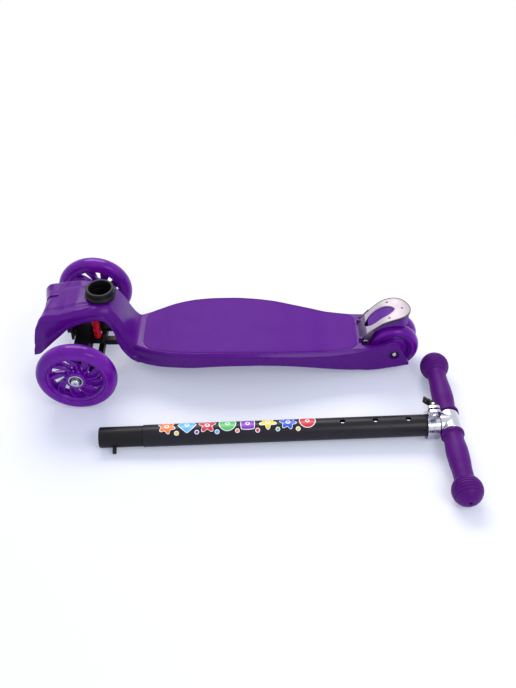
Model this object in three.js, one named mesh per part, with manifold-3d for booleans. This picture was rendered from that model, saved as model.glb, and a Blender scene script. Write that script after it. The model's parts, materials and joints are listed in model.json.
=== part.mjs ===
// A kick scooter for small children: two light-up wheels in front that steer by leaning,
// a pair of narrow wheels side by side at the back under a foot brake, and a telescopic
// T-shaped handlebar that is pulled out of its socket and lies on the floor beside the deck.
// Millimetres, +Z up, +X from the front wheels to the back ones, +Y to the rider's right.
// The steering, the deck and the handlebar are drawn from the front axle's middle on the
// floor; at the end the whole is moved so that its origin is the middle of its footprint.

import * as THREE from 'three';
import { mergeVertices } from 'three/addons/utils/BufferGeometryUtils.js';
import Module from 'manifold-3d';

const wasm = await Module();
wasm.setup();

// General clearances and counts of sides
const gap = 0.3;            // between pieces that touch
const overrun = 3;          // how far a cutting shape runs past what it cuts
const runClear = 1;         // beside pieces that move past each other
const sides = { small: 8, pin: 12, ring: 12, tube: 20, grip: 20 };

// Overall layout
const wheelbase = 478;
const front = {
  radius: 60, width: 24, track: 204.4, hubRadius: 43, rimWall: 3.5, bladeCount: 9, sides: 32,
  pinInset: 14.2,           // from a wheel's inner face to its steering pin
};
const rear = { radius: 40, width: 24, spread: 26, hubRadius: 27, rimWall: 3, bladeCount: 6, sides: 24 };
const bearing = { outer: 11, bore: 4.2, width: 7, innerRace: 6.8 };
const led = { inner: 8.3, spacer: 7.7 };
const bolt = { radius: 3.9, headRadius: 6.2, headHeight: 4.6 };
const kingpinTrack = front.track - front.width - 2 * front.pinInset;
const axleZ = front.radius;
const rearAxleZ = rear.radius;

// Deck and hood, one moulding
const board = {
  halfWidth: 70, height: 71, wall: 4, ribDepth: 15, ribWall: 2.4, ribPitch: 70, ribSpread: 50,
  draft: 1.2, wellStart: 427, panelEnd: 423, bossRadius: 8,
};
const hood = { height: 133, reach: 66, swallow: 15, earSlant: 16, crown: 0.6 };

// Steering socket, its collar and the sleeve that drops into it
const socket = {
  x: 30.4, outer: 19, bottom: 79, top: 131.4, flangeRadius: 20.5, flangeHeight: 2.5, lipHeight: 1.5,
  lipRadius: 11, holeRadius: 3.6,
};
const collar = {
  top: 145, flangeRadius: 23.5, flangeHeight: 3, rimRadius: 20.9, mouthRadius: 17, mouthDepth: 9,
};

// Lean pivot, beam, knuckles and tie rod
const lean = { z: 62, pinRadius: 4, leverArm: 24 };
const beam = { halfDepth: 11, height: 28, lugHeight: 5.5, lugRadius: 10, bossRadius: 11, bossHalf: 17.5 };
const bracket = {
  front: -24, rear: 53.5, halfWidth: 31, tailHalf: 14, tailStart: 45, wall: 3.5, plateZ: 106, plateHeight: 3,
  earHalf: 13, footHalf: 5, footHeight: 10, noseRadius: 2.5,
};
const buffer = { x: 22, spread: 49, radius: 6, bottom: 68, shelfHeight: 8, shelfHalf: 7, shelfReach: 30 };
const screw = { x: -14, spread: 50, radius: 2, headRadius: 3.8, headHeight: 2.4, length: 7, boss: 4.6 };
const knuckle = { eyeRadius: 10, armStart: 13.5, armHalf: 5, armBottom: 46, pinRadius: 2.5, pinBottom: 35 };
const kingpin = { radius: 4, headRadius: 6.5, headHeight: 4 };
const tieRod = { depth: 8, height: 12, eyeHeight: 8, eyeRadius: 6.5, play: 0.8 };

// Foot brake
const brake = {
  hingeX: 433, hingeZ: 58.5, pinRadius: 2.5, pinHead: 4, pinHeadHeight: 1.5, sheet: 1.8, rim: 4.5,
  lugHalf: 19, lugWall: 4, lugTop: 63, lugBottom: 44, lugRear: 438.5, padClear: 5, padHalf: 20,
  halfWidth: 26.6, length: 73, rise: 48, springRadius: 4.6,
};

// Handlebar column lying on the floor
const bar = {
  startX: 38.85, startY: -182.7, yawDegrees: 2.22,
  outerRadius: 16, outerWall: 1.5, outerEnd: 489, sleeveLength: 63, sleeveRadius: 15, sleeveWall: 3.5,
  spigot: 24, handleX: 507.5, holeRadius: 4, topHole: 445.6, holePitch: 47.5, holeCount: 3, restSteps: 3,
};
const lock = {
  x: 22, radius: 3, proud: 10, elevationDegrees: -25, base: 1.6, baseRadius: 4.6, baseDrop: 2,
  springRadius: 3.6,
};
const leaf = { back: 8, front: 16, halfWidth: 3, height: 1.6 };
const inner = {
  radius: 12.7, wall: 1.4, bushLength: 18, bushWall: 1.2, topBush: 20, topFlange: 2,
  buttonInset: 35.1,        // from the inner tube's lower end to its spring button
};
const clamp = {
  start: 472.5, length: 17.5, outer: 20.5, earHeight: 15, earWall: 4.5, slot: 3.6, boltRadius: 2.5,
  boltX: 8.75, pinRadius: 2, nutRadius: 5, nutHeight: 4, leverLength: 18, leverWidth: 10,
  leverWall: 3.2, camRadius: 5,
  restDegrees: 50,          // how far the lever stands open as photographed
};
const tee = { neckRadius: 16, armRadius: 15.5, armHalf: 17 };
const handle = { radius: 11, halfLength: 126 };
const grip = { start: 18.5, ballCentre: 120, ballRadius: 22, flange: 17, neck: 14, endHole: 2.5 };

const colours = {
  shell: 0x5d1f9e, tyre: 0x6a17a8, hub: 0x7a2fc0, black: 0x17171b, steel: 0xb9bcc2, chrome: 0xd9dbe0,
  red: 0xc4122f, grip: 0x5c2490, tube: 0x202024, leds: 0xe8e6f0, pad: 0x6c33ac,
};
const looks = {
  shell: { color: colours.shell, roughness: 0.32, metalness: 0 },
  tyre: { color: colours.tyre, roughness: 0.16, metalness: 0 },
  hub: { color: colours.hub, roughness: 0.14, metalness: 0 },
  black: { color: colours.black, roughness: 0.5, metalness: 0 },
  steel: { color: colours.steel, roughness: 0.34, metalness: 1 },
  chrome: { color: colours.chrome, roughness: 0.16, metalness: 1 },
  red: { color: colours.red, roughness: 0.42, metalness: 0 },
  grip: { color: colours.grip, roughness: 0.62, metalness: 0 },
  tube: { color: colours.tube, roughness: 0.38, metalness: 0.4 },
  leds: { color: colours.leds, roughness: 0.3, metalness: 0 },
  pad: { color: colours.pad, roughness: 0.55, metalness: 0 },
};

// Solids: every shape is turned into a closed solid once, then joined and cut

function toSolid(geometry) {
  const bare = geometry.clone();
  bare.deleteAttribute('normal');
  bare.deleteAttribute('uv');
  const merged = mergeVertices(bare);
  const index = merged.index.array;
  const position = merged.attributes.position;
  const kept = [];
  for (let i = 0; i < index.length; i += 3) {
    const [a, b, c] = [index[i], index[i + 1], index[i + 2]];
    if (a !== b && b !== c && a !== c) kept.push(a, b, c);
  }
  if (signedVolume(position, kept) < 0) kept.reverse();
  return new wasm.Manifold(new wasm.Mesh({
    numProp: 3,
    vertProperties: new Float32Array(position.array),
    triVerts: new Uint32Array(kept),
  }));
}

function signedVolume(position, index) {
  const [a, b, c] = [new THREE.Vector3(), new THREE.Vector3(), new THREE.Vector3()];
  let sum = 0;
  for (let i = 0; i < index.length; i += 3) {
    a.fromBufferAttribute(position, index[i]);
    b.fromBufferAttribute(position, index[i + 1]);
    c.fromBufferAttribute(position, index[i + 2]);
    sum += a.dot(b.cross(c));
  }
  return sum;
}

function toGeometry(solid) {
  const mesh = solid.getMesh();
  const geometry = new THREE.BufferGeometry();
  geometry.setAttribute('position', new THREE.BufferAttribute(new Float32Array(mesh.vertProperties), 3));
  geometry.setIndex(new THREE.BufferAttribute(new Uint32Array(mesh.triVerts), 1));
  geometry.computeVertexNormals();
  return geometry;
}

const joinAll = (solids) => solids.reduce((whole, next) => whole.add(next));
const cutAll = (solid, cutters) => cutters.reduce((left, cutter) => left.subtract(cutter), solid);
const sorted = (a, b) => [Math.min(a, b), Math.max(a, b)];
const between = (low, high, share) => low + (high - low) * share;
const toRadians = (degrees) => degrees * Math.PI / 180;

function box(x, y, z) {
  const [[x0, x1], [y0, y1], [z0, z1]] = [sorted(...x), sorted(...y), sorted(...z)];
  const geometry = new THREE.BoxGeometry(x1 - x0, y1 - y0, z1 - z0);
  geometry.translate((x0 + x1) / 2, (y0 + y1) / 2, (z0 + z1) / 2);
  return toSolid(geometry);
}

// A body of revolution: profile points are [radius, height along the axis], closed on itself
const axisTurn = {
  x: new THREE.Matrix4().makeRotationZ(-Math.PI / 2),
  y: new THREE.Matrix4(),
  z: new THREE.Matrix4().makeRotationX(Math.PI / 2),
};

function turned(profile, axis, count, centre = [0, 0, 0]) {
  const points = [...profile, profile[0]].map(([r, h]) => new THREE.Vector2(r, h));
  const geometry = new THREE.LatheGeometry(points, count);
  geometry.applyMatrix4(axisTurn[axis]);
  geometry.translate(...centre);
  return toSolid(geometry);
}

function rod(radius, along, axis, count, centre) {
  const [low, high] = sorted(...along);
  return turned([[0, low], [radius, low], [radius, high], [0, high]], axis, count, centre);
}

function ring(inside, outside, along, axis, count, centre) {
  const [low, high] = sorted(...along);
  return turned([[inside, low], [outside, low], [outside, high], [inside, high]], axis, count, centre);
}

// A flat outline pushed along x, y or z; its points are given in the other two axes, in order
const planeBasis = {
  x: new THREE.Matrix4().makeBasis(
    new THREE.Vector3(0, 1, 0), new THREE.Vector3(0, 0, 1), new THREE.Vector3(1, 0, 0)),
  y: new THREE.Matrix4().makeBasis(
    new THREE.Vector3(1, 0, 0), new THREE.Vector3(0, 0, 1), new THREE.Vector3(0, -1, 0)),
  z: new THREE.Matrix4(),
};

function prism(outline, along, axis, holes = []) {
  const [low, high] = sorted(...along);
  const shape = new THREE.Shape(outline.map(([a, b]) => new THREE.Vector2(a, b)));
  for (const hole of holes) shape.holes.push(new THREE.Path(hole.map(([a, b]) => new THREE.Vector2(a, b))));
  const geometry = new THREE.ExtrudeGeometry(shape, { depth: high - low, bevelEnabled: false });
  geometry.applyMatrix4(planeBasis[axis]);
  const start = axis === 'y' ? -high : low;
  const shift = { x: [low, 0, 0], y: [0, -start, 0], z: [0, 0, low] }[axis];
  geometry.translate(...shift);
  return toSolid(geometry);
}

const mirrored = (half) => [...half, ...half.slice().reverse().map(([a, b]) => [a, -b])];

// The corners of a round outline, level with those of a turned ring of the same count
function arcPoints(radius, count) {
  const points = [];
  for (let i = 0; i < count; i += 1) {
    const angle = i / count * 2 * Math.PI;
    points.push([radius * Math.sin(angle), radius * Math.cos(angle)]);
  }
  return points;
}

const scooter = new THREE.Group();
const deckGroup = new THREE.Group();
const axleGroup = new THREE.Group();
const barGroup = new THREE.Group();
scooter.add(deckGroup, axleGroup, barGroup);

function place(group, name, solid, look, position = [0, 0, 0]) {
  const mesh = new THREE.Mesh(toGeometry(solid), new THREE.MeshStandardMaterial(looks[look]));
  mesh.name = name;
  mesh.position.set(...position);
  group.add(mesh);
  return mesh;
}

const hands = [['left', -1], ['right', 1]];

// Deck board: sections along X, each an upside-down U with a crowned roof.
// Hood rows: along (share of the hood's reach), ridge half width (share of the board's half
// width), ridge height (share of the hood's height), foot half width, foot height.
const hoodRowShares = [
  [-1.0, 0.66, 0.735, 0.762, 0.451],
  [-0.95, 0.65, 0.79, 0.762, 0.451],
  [-0.87, 0.64, 0.842, 0.76, 0.459],
  [-0.79, 0.636, 0.869, 0.743, 0.504],
  [-0.61, 0.65, 0.883, 0.714, 0.602],
  [-0.41, 0.664, 0.899, 0.686, 0.699],
  [-0.23, 0.65, 0.915, 0.668, 0.782],
  [0.08, 0.571, 0.95, 0.614, 0.842],
  [0.3, 0.47, 0.973, 0.571, 0.857],
  [0.45, 0.428, 0.983, 0.557, 0.861],
  [0.6, 0.407, 0.968, 0.543, 0.827],
  [0.7, 0.393, 0.947, 0.543, 0.752],
  [0.76, 0.386, 0.914, 0.546, 0.677],
  [0.83, 0.38, 0.865, 0.565, 0.519],
  [0.91, 0.386, 0.797, 0.586, 0.421],
  [1.0, 0.407, 0.695, 0.58, 0.34],
  [1.07, 0.44, 0.602, 0.575, 0.29],
  [1.15, 0.478, 0.514, 0.57, 0.25],
];
// Deck rows: along (share of the wheelbase), ridge half width, ridge height (share of the
// board's height), edge half width, edge height, foot height.
const deckRowShares = [
  [0.174, 0.514, 0.85, 0.578, 0.79, 0.405],
  [0.2, 0.594, 0.846, 0.66, 0.796, 0.42],
  [0.23, 0.69, 0.862, 0.739, 0.824, 0.437],
  [0.293, 0.836, 0.924, 0.899, 0.875, 0.534],
  [0.356, 0.907, 0.968, 0.966, 0.921, 0.585],
  [0.418, 0.927, 0.993, 0.993, 0.939, 0.641],
  [0.481, 0.93, 1.0, 1.0, 0.941, 0.669],
  [0.544, 0.914, 0.986, 0.989, 0.924, 0.672],
  [0.607, 0.879, 0.955, 0.959, 0.889, 0.642],
  [0.669, 0.813, 0.904, 0.899, 0.834, 0.568],
  [0.732, 0.739, 0.851, 0.831, 0.776, 0.466],
  [0.795, 0.664, 0.8, 0.749, 0.731, 0.346],
  [0.858, 0.593, 0.803, 0.68, 0.73, 0.256],
  [0.889, 0.575, 0.804, 0.64, 0.755, 0.22],
];
// Wing rows: along (share of the back wheel's radius, from its axle), ridge half width (share
// of the board's half width), ridge height (share of the wheel's radius), foot height.
const wingRowShares = [
  [-0.95, 0.583, 1.43, 0.335],
  [-0.55, 0.554, 1.53, 0.33],
  [-0.1, 0.52, 1.655, 0.365],
  [0.07, 0.514, 1.57, 0.385],
  [0.33, 0.514, 1.08, 0.45],
  [0.6, 0.514, 0.6, 0.51],
];
const shoulderShares = { out: 0.65, down: 0.3 };
const wingEdgeShares = { out: 1.03, down: 0.975 };

function boardRows() {
  const rows = [];
  for (const [along, ridgeHalf, ridgeUp, footHalf, footUp] of hoodRowShares) {
    const ridge = [ridgeHalf * board.halfWidth, ridgeUp * hood.height];
    const foot = [footHalf * board.halfWidth, footUp * hood.height];
    const edge = [
      between(ridge[0], foot[0], shoulderShares.out), between(ridge[1], foot[1], shoulderShares.down),
    ];
    rows.push({ x: along * hood.reach, ridge, edge, foot });
  }
  for (const [along, ridgeHalf, ridgeUp, edgeHalf, edgeUp, footUp] of deckRowShares) {
    const edge = [edgeHalf * board.halfWidth, edgeUp * board.height];
    const foot = [edge[0] - board.draft, footUp * board.height];
    const ridge = [ridgeHalf * board.halfWidth, ridgeUp * board.height];
    rows.push({ x: along * wheelbase, ridge, edge, foot });
  }
  for (const [along, ridgeHalf, ridgeUp, footUp] of wingRowShares) {
    const ridge = [ridgeHalf * board.halfWidth, ridgeUp * rear.radius];
    const edge = [ridge[0] * wingEdgeShares.out, ridge[1] * wingEdgeShares.down];
    rows.push({ x: wheelbase + along * rear.radius, ridge, edge, foot: [edge[0], footUp * rear.radius] });
  }
  return rows;
}

const rows = boardRows();
const steepLimitShare = 2.2;

function roofDrop(i) {
  const [before, after] = [rows[Math.max(i - 1, 0)], rows[Math.min(i + 1, rows.length - 1)]];
  const slope = Math.abs((after.ridge[1] - before.ridge[1]) / (after.x - before.x));
  return board.wall * Math.hypot(1, Math.min(slope, steepLimitShare));
}

// Half sections, from the middle of the roof round to the middle underneath
const shellShares = { crownHalf: 0.55, ridgeIn: 0.5, edgeDown: 0.6 };

function outerHalf(row) {
  const top = row.ridge[1] + hood.crown;
  const mid = between(row.ridge[1], top, shellShares.crownHalf);
  return [[0, top], [row.ridge[0] * shellShares.crownHalf, mid], row.ridge, row.edge, row.foot];
}

function shellHalf(row, i) {
  const drop = roofDrop(i);
  const under = row.ridge[1] - drop;
  return [
    ...outerHalf(row),
    [row.foot[0] - board.wall, row.foot[1]],
    [row.edge[0] - board.wall,
      Math.min(row.edge[1] - board.wall * shellShares.edgeDown, under + board.wall)],
    [row.ridge[0] - board.wall * shellShares.ridgeIn, under],
    [0, under],
  ];
}

const filledHalf = (row) => [...outerHalf(row), [0, row.foot[1]]];

function ribHalf(row) {
  const [top, edge] = [row.ridge[1] - gap, row.edge[0] - board.wall / 2];
  const under = top - board.ribDepth;
  return [[0, top], [row.ridge[0], top], [edge, row.edge[1] - gap], [edge, under], [0, under]];
}

// The hood's nose is hollowed in plan and its ears slant forward as they go down
function noseShift(x, y, z) {
  const share = Math.min(Math.max(-x / hood.reach, 0), 1) ** 2;
  const out = Math.min(Math.abs(y) / (board.halfWidth * hoodRowShares[0][3]), 1);
  const down = Math.min(Math.max(1 - z / (hoodRowShares[0][2] * hood.height), 0), 1);
  return share * (hood.swallow * (1 - out * out) - hood.earSlant * down);
}

function loft(chosen, halfSection) {
  const loops = chosen.map((row) => {
    const half = halfSection(row, rows.indexOf(row));
    const other = half.slice(1, -1).reverse().map(([y, z]) => [-y, z]);
    return [...half, ...other].map(([y, z]) => [row.x + noseShift(row.x, y, z), y, z]);
  });
  const count = loops[0].length;
  const index = [];
  for (let i = 0; i < loops.length - 1; i += 1) {
    for (let j = 0; j < count; j += 1) {
      const next = (j + 1) % count;
      const [a, b, c, d] = [i * count + j, i * count + next, (i + 1) * count + next, (i + 1) * count + j];
      index.push(a, b, c, a, c, d);
    }
  }
  // A wall runs along the first loop forwards, so its cap runs round it backwards
  for (const [end, forwards] of [[0, false], [loops.length - 1, true]]) {
    const flat = loops[end].map(([, y, z]) => new THREE.Vector2(y, z));
    const runsForwards = THREE.ShapeUtils.area(flat) > 0;
    for (const face of THREE.ShapeUtils.triangulateShape(flat, [])) {
      const corners = face.map((k) => end * count + k);
      const area = THREE.ShapeUtils.area(face.map((k) => flat[k]));
      const same = (area > 0) === runsForwards;
      index.push(...(same === forwards ? corners : corners.reverse()));
    }
  }
  const geometry = new THREE.BufferGeometry();
  geometry.setAttribute('position', new THREE.BufferAttribute(new Float32Array(loops.flat(2)), 3));
  geometry.setIndex(index);
  return toSolid(geometry);
}

const wingOuter = wingRowShares[3][1] * wingEdgeShares.out * board.halfWidth;
const wingInner = wingOuter - board.wall - gap / 2;
const wingBossInner = rear.spread / 2 + rear.width / 2 + gap;
const recessDepth = wingOuter - wingInner - board.wall / 3;
const boltSeat = wingOuter - recessDepth;
const plateTop = bracket.plateZ + bracket.plateHeight;
const screwPlaces = hands.map(([, hand]) => [screw.x, hand * screw.spread / 2]);

function deckBoard() {
  const shell = loft(rows, shellHalf);
  const filled = loft(rows, filledHalf);
  const ribRows = rows.filter((row) => row.x > hood.reach && row.x < board.wellStart);
  const ribSpace = loft(ribRows, ribHalf);
  const [ribStart, ribEnd] = [ribRows[0].x, ribRows[ribRows.length - 1].x];
  const far = board.halfWidth + overrun;
  const slabs = [];
  for (const [, hand] of hands) {
    const y = hand * board.ribSpread / 2;
    slabs.push(box([ribStart, ribEnd], [y - board.ribWall / 2, y + board.ribWall / 2], [0, board.height]));
  }
  for (let x = ribStart + board.ribPitch; x < ribEnd; x += board.ribPitch) {
    slabs.push(box([x, x + board.ribWall], [-far, far], [0, board.height]));
  }
  const backWall = box([board.panelEnd, board.wellStart], [-far, far],
    [brake.lugBottom - overrun, board.height]);
  const bossZ = [plateTop + gap, hood.height + overrun];
  const screwBosses = screwPlaces.map(([x, y]) => rod(screw.boss, bossZ, 'z', sides.small, [x, y, 0]));
  const added = joinAll([
    joinAll(slabs).intersect(ribSpace),
    joinAll([backWall, ...screwBosses]).intersect(filled),
  ]);
  const well = box([board.wellStart, wheelbase + rear.radius], [-wingInner, wingInner], [0, hood.height]);
  const lugs = hands.map(([, hand]) => box([board.panelEnd, brake.lugRear],
    [hand * brake.lugHalf, hand * (brake.lugHalf + brake.lugWall)], [brake.lugBottom, brake.lugTop]));
  const axleBosses = hands.map(([, hand]) => rod(board.bossRadius,
    [hand * wingBossInner, hand * (wingInner + board.wall / 2)], 'y', sides.tube,
    [wheelbase, 0, rearAxleZ]));
  const cutters = [
    rod(socket.outer + gap * 2, [plateTop, hood.height + overrun], 'z', sides.tube, [socket.x, 0, 0]),
    rod(bolt.radius + gap, [-far, far], 'y', sides.pin, [wheelbase, 0, rearAxleZ]),
    rod(brake.pinRadius + gap, [-wingInner, wingInner], 'y', sides.pin, [brake.hingeX, 0, brake.hingeZ]),
    ...hands.map(([, hand]) => rod(bolt.headRadius + runClear, [hand * boltSeat, hand * far], 'y',
      sides.tube, [wheelbase, 0, rearAxleZ])),
    ...screwPlaces.map(([x, y]) => rod(screw.radius + gap, [plateTop, plateTop + screw.length], 'z',
      sides.small, [x, y, 0])),
  ];
  return cutAll(joinAll([shell.add(added).subtract(well), ...lugs, ...axleBosses]), cutters);
}

place(deckGroup, 'deck_board', deckBoard(), 'shell');

// Steering socket: a black tube through the hood, with a foot on the bracket's plate
const socketBore = bar.sleeveRadius + gap * 2;
const lockZ = socket.bottom + socket.lipHeight + gap + lock.x;

function steeringSocket() {
  const body = turned([
    [socket.lipRadius, socket.bottom], [socket.outer, socket.bottom], [socket.outer, plateTop + gap],
    [socket.flangeRadius, plateTop + gap], [socket.flangeRadius, plateTop + gap + socket.flangeHeight],
    [socket.outer, plateTop + gap + socket.flangeHeight], [socket.outer, socket.top],
    [socketBore, socket.top],
    [socketBore, socket.bottom + socket.lipHeight], [socket.lipRadius, socket.bottom + socket.lipHeight],
  ], 'z', sides.tube, [socket.x, 0, 0]);
  const turn = Math.PI / 2 - toRadians(lock.elevationDegrees);
  const hole = new THREE.CylinderGeometry(socket.holeRadius, socket.holeRadius, socket.outer, sides.pin);
  hole.translate(0, socket.outer, 0);
  hole.rotateZ(Math.PI - turn + Math.PI / 2);
  hole.translate(socket.x, 0, lockZ);
  return body.subtract(toSolid(hole));
}

function socketCollar() {
  const bottom = socket.top + gap * 2;
  const flangeTop = bottom + collar.flangeHeight;
  return turned([
    [socketBore + gap, bottom], [collar.flangeRadius, bottom], [collar.flangeRadius, flangeTop],
    [collar.rimRadius, flangeTop + collar.flangeHeight / 2], [collar.rimRadius, collar.top - gap * 2],
    [collar.rimRadius - gap * 2, collar.top], [collar.mouthRadius, collar.top],
    [socketBore + gap, collar.top - collar.mouthDepth],
  ], 'z', sides.tube, [socket.x, 0, 0]);
}

place(deckGroup, 'steering_socket', steeringSocket(), 'black');
place(deckGroup, 'socket_collar', socketCollar(), 'black');

// Lean bracket: a plate under the hood, two ears for the lean pin and a foot with a nose
// that pushes the tie rod sideways
const rodZ = lean.z - lean.leverArm;
const rodX = lean.leverArm;

function pivotBracket() {
  const plate = prism(mirrored([
    [bracket.front, bracket.halfWidth], [bracket.tailStart, bracket.halfWidth],
    [bracket.rear, bracket.tailHalf],
  ]), [bracket.plateZ, plateTop], 'z');
  const earBottom = lean.z - beam.bossRadius;
  const frontEar = box([bracket.front + bracket.wall / 2, bracket.front + bracket.wall * 3 / 2],
    [-bracket.earHalf, bracket.earHalf], [earBottom, bracket.plateZ + gap]);
  const footZ = [rodZ - bracket.footHeight / 2, rodZ + bracket.footHeight / 2];
  const rearEar = box([bracket.rear - bracket.wall, bracket.rear], [-bracket.earHalf, bracket.earHalf],
    [earBottom, bracket.plateZ + gap]);
  const leg = box([bracket.rear - bracket.wall, bracket.rear], [-bracket.footHalf, bracket.footHalf],
    [footZ[0], lean.z]);
  const footStart = rodX + tieRod.depth / 2 + gap * 2;
  const foot = box([footStart, bracket.rear], [-bracket.footHalf, bracket.footHalf], footZ);
  const nose = rod(bracket.noseRadius, [rodX - tieRod.depth / 2, footStart + bracket.wall], 'x', sides.pin,
    [0, 0, rodZ]);
  const cutters = [
    rod(socket.outer + gap, [0, hood.height], 'z', sides.tube, [socket.x, 0, 0]),
    rod(lean.pinRadius + gap, [bracket.front - overrun, bracket.rear + overrun], 'x', sides.pin,
      [0, 0, lean.z]),
    ...screwPlaces.map(([x, y]) => rod(screw.radius + gap, [0, hood.height], 'z', sides.small, [x, y, 0])),
  ];
  const flat = cutAll(plate, [cutters[0], ...cutters.slice(2)]);
  const hanging = joinAll([frontEar, rearEar, leg, foot, nose]).subtract(cutters[1]);
  return flat.add(hanging);
}

function bracketScrew() {
  const headTop = bracket.plateZ - gap;
  const tip = plateTop + screw.length - gap * 2;
  return turned([
    [0, headTop - screw.headHeight], [screw.headRadius, headTop - screw.headHeight],
    [screw.headRadius, headTop], [screw.radius, headTop], [screw.radius, tip], [0, tip],
  ], 'z', sides.small);
}

place(deckGroup, 'pivot_bracket', pivotBracket(), 'black');
for (const [name, hand] of hands) {
  place(deckGroup, `bracket_screw_${name}`, bracketScrew(), 'steel', [screw.x, hand * screw.spread / 2, 0]);
}

// Back axle: one long bolt through both wings, a nut and a washer between the wheels
const rearSeat = boltSeat + gap;
const rearNutWidth = bolt.headHeight / 2;
place(deckGroup, 'rear_axle_bolt', joinAll([
  rod(bolt.radius, [-rearSeat, rearSeat + rearNutWidth], 'y', sides.pin),
  rod(bolt.headRadius, [-rearSeat - rearNutWidth, -rearSeat], 'y', sides.small),
]), 'steel', [wheelbase, 0, rearAxleZ]);
place(deckGroup, 'rear_axle_nut',
  ring(bolt.radius + gap, bolt.headRadius, [rearSeat, rearSeat + rearNutWidth], 'y', sides.small),
  'steel', [wheelbase, 0, rearAxleZ]);
const rearWheelGap = (rear.spread - rear.width) / 2 - gap;
place(deckGroup, 'rear_wheel_washer',
  ring(bearing.bore, bearing.innerRace, [-rearWheelGap, rearWheelGap], 'y', sides.ring),
  'steel', [wheelbase, 0, rearAxleZ]);

// Axle beam: the fixed cross member, with forks for the steering pins and two shelves
const kingY = kingpinTrack / 2;
const [beamLow, beamHigh] = [axleZ - beam.height / 2, axleZ + beam.height / 2];
const knuckleLow = beamLow + beam.lugHeight + gap;
const knuckleHigh = beamHigh - beam.lugHeight - gap;

function axleBeam() {
  const lugStart = kingY - beam.lugRadius - 2 * runClear;
  const lugs = [];
  for (const [, hand] of hands) {
    for (const z of [[beamLow, beamLow + beam.lugHeight], [beamHigh - beam.lugHeight, beamHigh]]) {
      lugs.push(rod(beam.lugRadius, z, 'z', sides.tube, [0, hand * kingY, 0]));
      lugs.push(box([-beam.lugRadius, beam.lugRadius], [hand * lugStart, hand * kingY], z));
    }
  }
  const shelves = hands.map(([, hand]) => box([0, buffer.shelfReach],
    [hand * (buffer.spread / 2 - buffer.shelfHalf), hand * (buffer.spread / 2 + buffer.shelfHalf)],
    [buffer.bottom - buffer.shelfHeight, buffer.bottom]));
  const middleBar = box([-beam.halfDepth, beam.halfDepth], [-lugStart - gap, lugStart + gap],
    [beamLow, beamHigh]);
  const boss = rod(beam.bossRadius, [-beam.bossHalf, beam.bossHalf], 'x', sides.tube, [0, 0, lean.z]);
  return cutAll(joinAll([middleBar, boss, ...shelves, ...lugs]), [
    rod(lean.pinRadius + gap, [-wheelbase, wheelbase], 'x', sides.pin, [0, 0, lean.z]),
    ...hands.map(([, hand]) => rod(kingpin.radius + gap, [0, hood.height], 'z', sides.pin,
      [0, hand * kingY, 0])),
  ]);
}

place(axleGroup, 'axle_beam', axleBeam(), 'black');
const leanEnd = bracket.front - runClear;
place(axleGroup, 'lean_pin', turned([
  [0, leanEnd - kingpin.headHeight], [kingpin.headRadius, leanEnd - kingpin.headHeight],
  [kingpin.headRadius, leanEnd], [lean.pinRadius, leanEnd], [lean.pinRadius, bracket.rear + bracket.wall],
  [0, bracket.rear + bracket.wall],
], 'x', sides.pin, [0, 0, lean.z]), 'steel');

const kingpinTop = beamHigh + gap + kingpin.headHeight;
for (const [name, hand] of hands) {
  const y = hand * kingY;
  place(axleGroup, `kingpin_${name}`, turned([
    [0, beamLow - runClear], [kingpin.radius, beamLow - runClear], [kingpin.radius, beamHigh + gap],
    [kingpin.headRadius, beamHigh + gap], [kingpin.headRadius, kingpinTop], [0, kingpinTop],
  ], 'z', sides.pin), 'steel', [0, y, 0]);
  place(axleGroup, `buffer_${name}`,
    rod(buffer.radius, [buffer.bottom + gap, bracket.plateZ - gap], 'z', sides.tube), 'red',
    [buffer.x, hand * buffer.spread / 2, 0]);
}

// Knuckles: an eye on the steering pin, a boss for the wheel's bolt and an arm to the tie rod
const wheelY = front.track / 2;
const wheelInner = wheelY - front.width / 2;
const wheelOuter = wheelY + front.width / 2;
const boltInner = kingY + kingpin.radius + runClear;

function steeringKnuckle(hand) {
  const bossRadius = (knuckleHigh - knuckleLow) / 2 - gap;
  const eye = rod(knuckle.eyeRadius, [knuckleLow, knuckleHigh], 'z', sides.tube, [0, hand * kingY, 0]);
  const boss = turned([
    [0, kingY], [bossRadius, kingY], [bossRadius, wheelInner - 2 * runClear],
    [bearing.innerRace, wheelInner - gap], [0, wheelInner - gap],
  ].map(([r, y]) => [r, hand * y]), 'y', sides.tube, [0, 0, axleZ]);
  const armY = [hand * (kingY - knuckle.armHalf), hand * (kingY + knuckle.armHalf)];
  const arm = joinAll([
    box([knuckle.eyeRadius / 2, rodX], armY, [knuckleLow, knuckleHigh]),
    box([knuckle.armStart, rodX], armY, [knuckle.armBottom, knuckleHigh]),
    rod(knuckle.armHalf, [knuckle.armBottom, knuckleHigh], 'z', sides.tube, [rodX, hand * kingY, 0]),
    rod(knuckle.pinRadius, [knuckle.pinBottom, axleZ], 'z', sides.pin, [rodX, hand * kingY, 0]),
  ]);
  return cutAll(joinAll([eye, boss, arm]), [
    rod(kingpin.radius + gap, [0, hood.height], 'z', sides.pin, [0, hand * kingY, 0]),
    rod(bolt.radius + gap, [hand * (boltInner - gap), hand * wheelOuter], 'y', sides.pin, [0, 0, axleZ]),
  ]);
}

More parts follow.
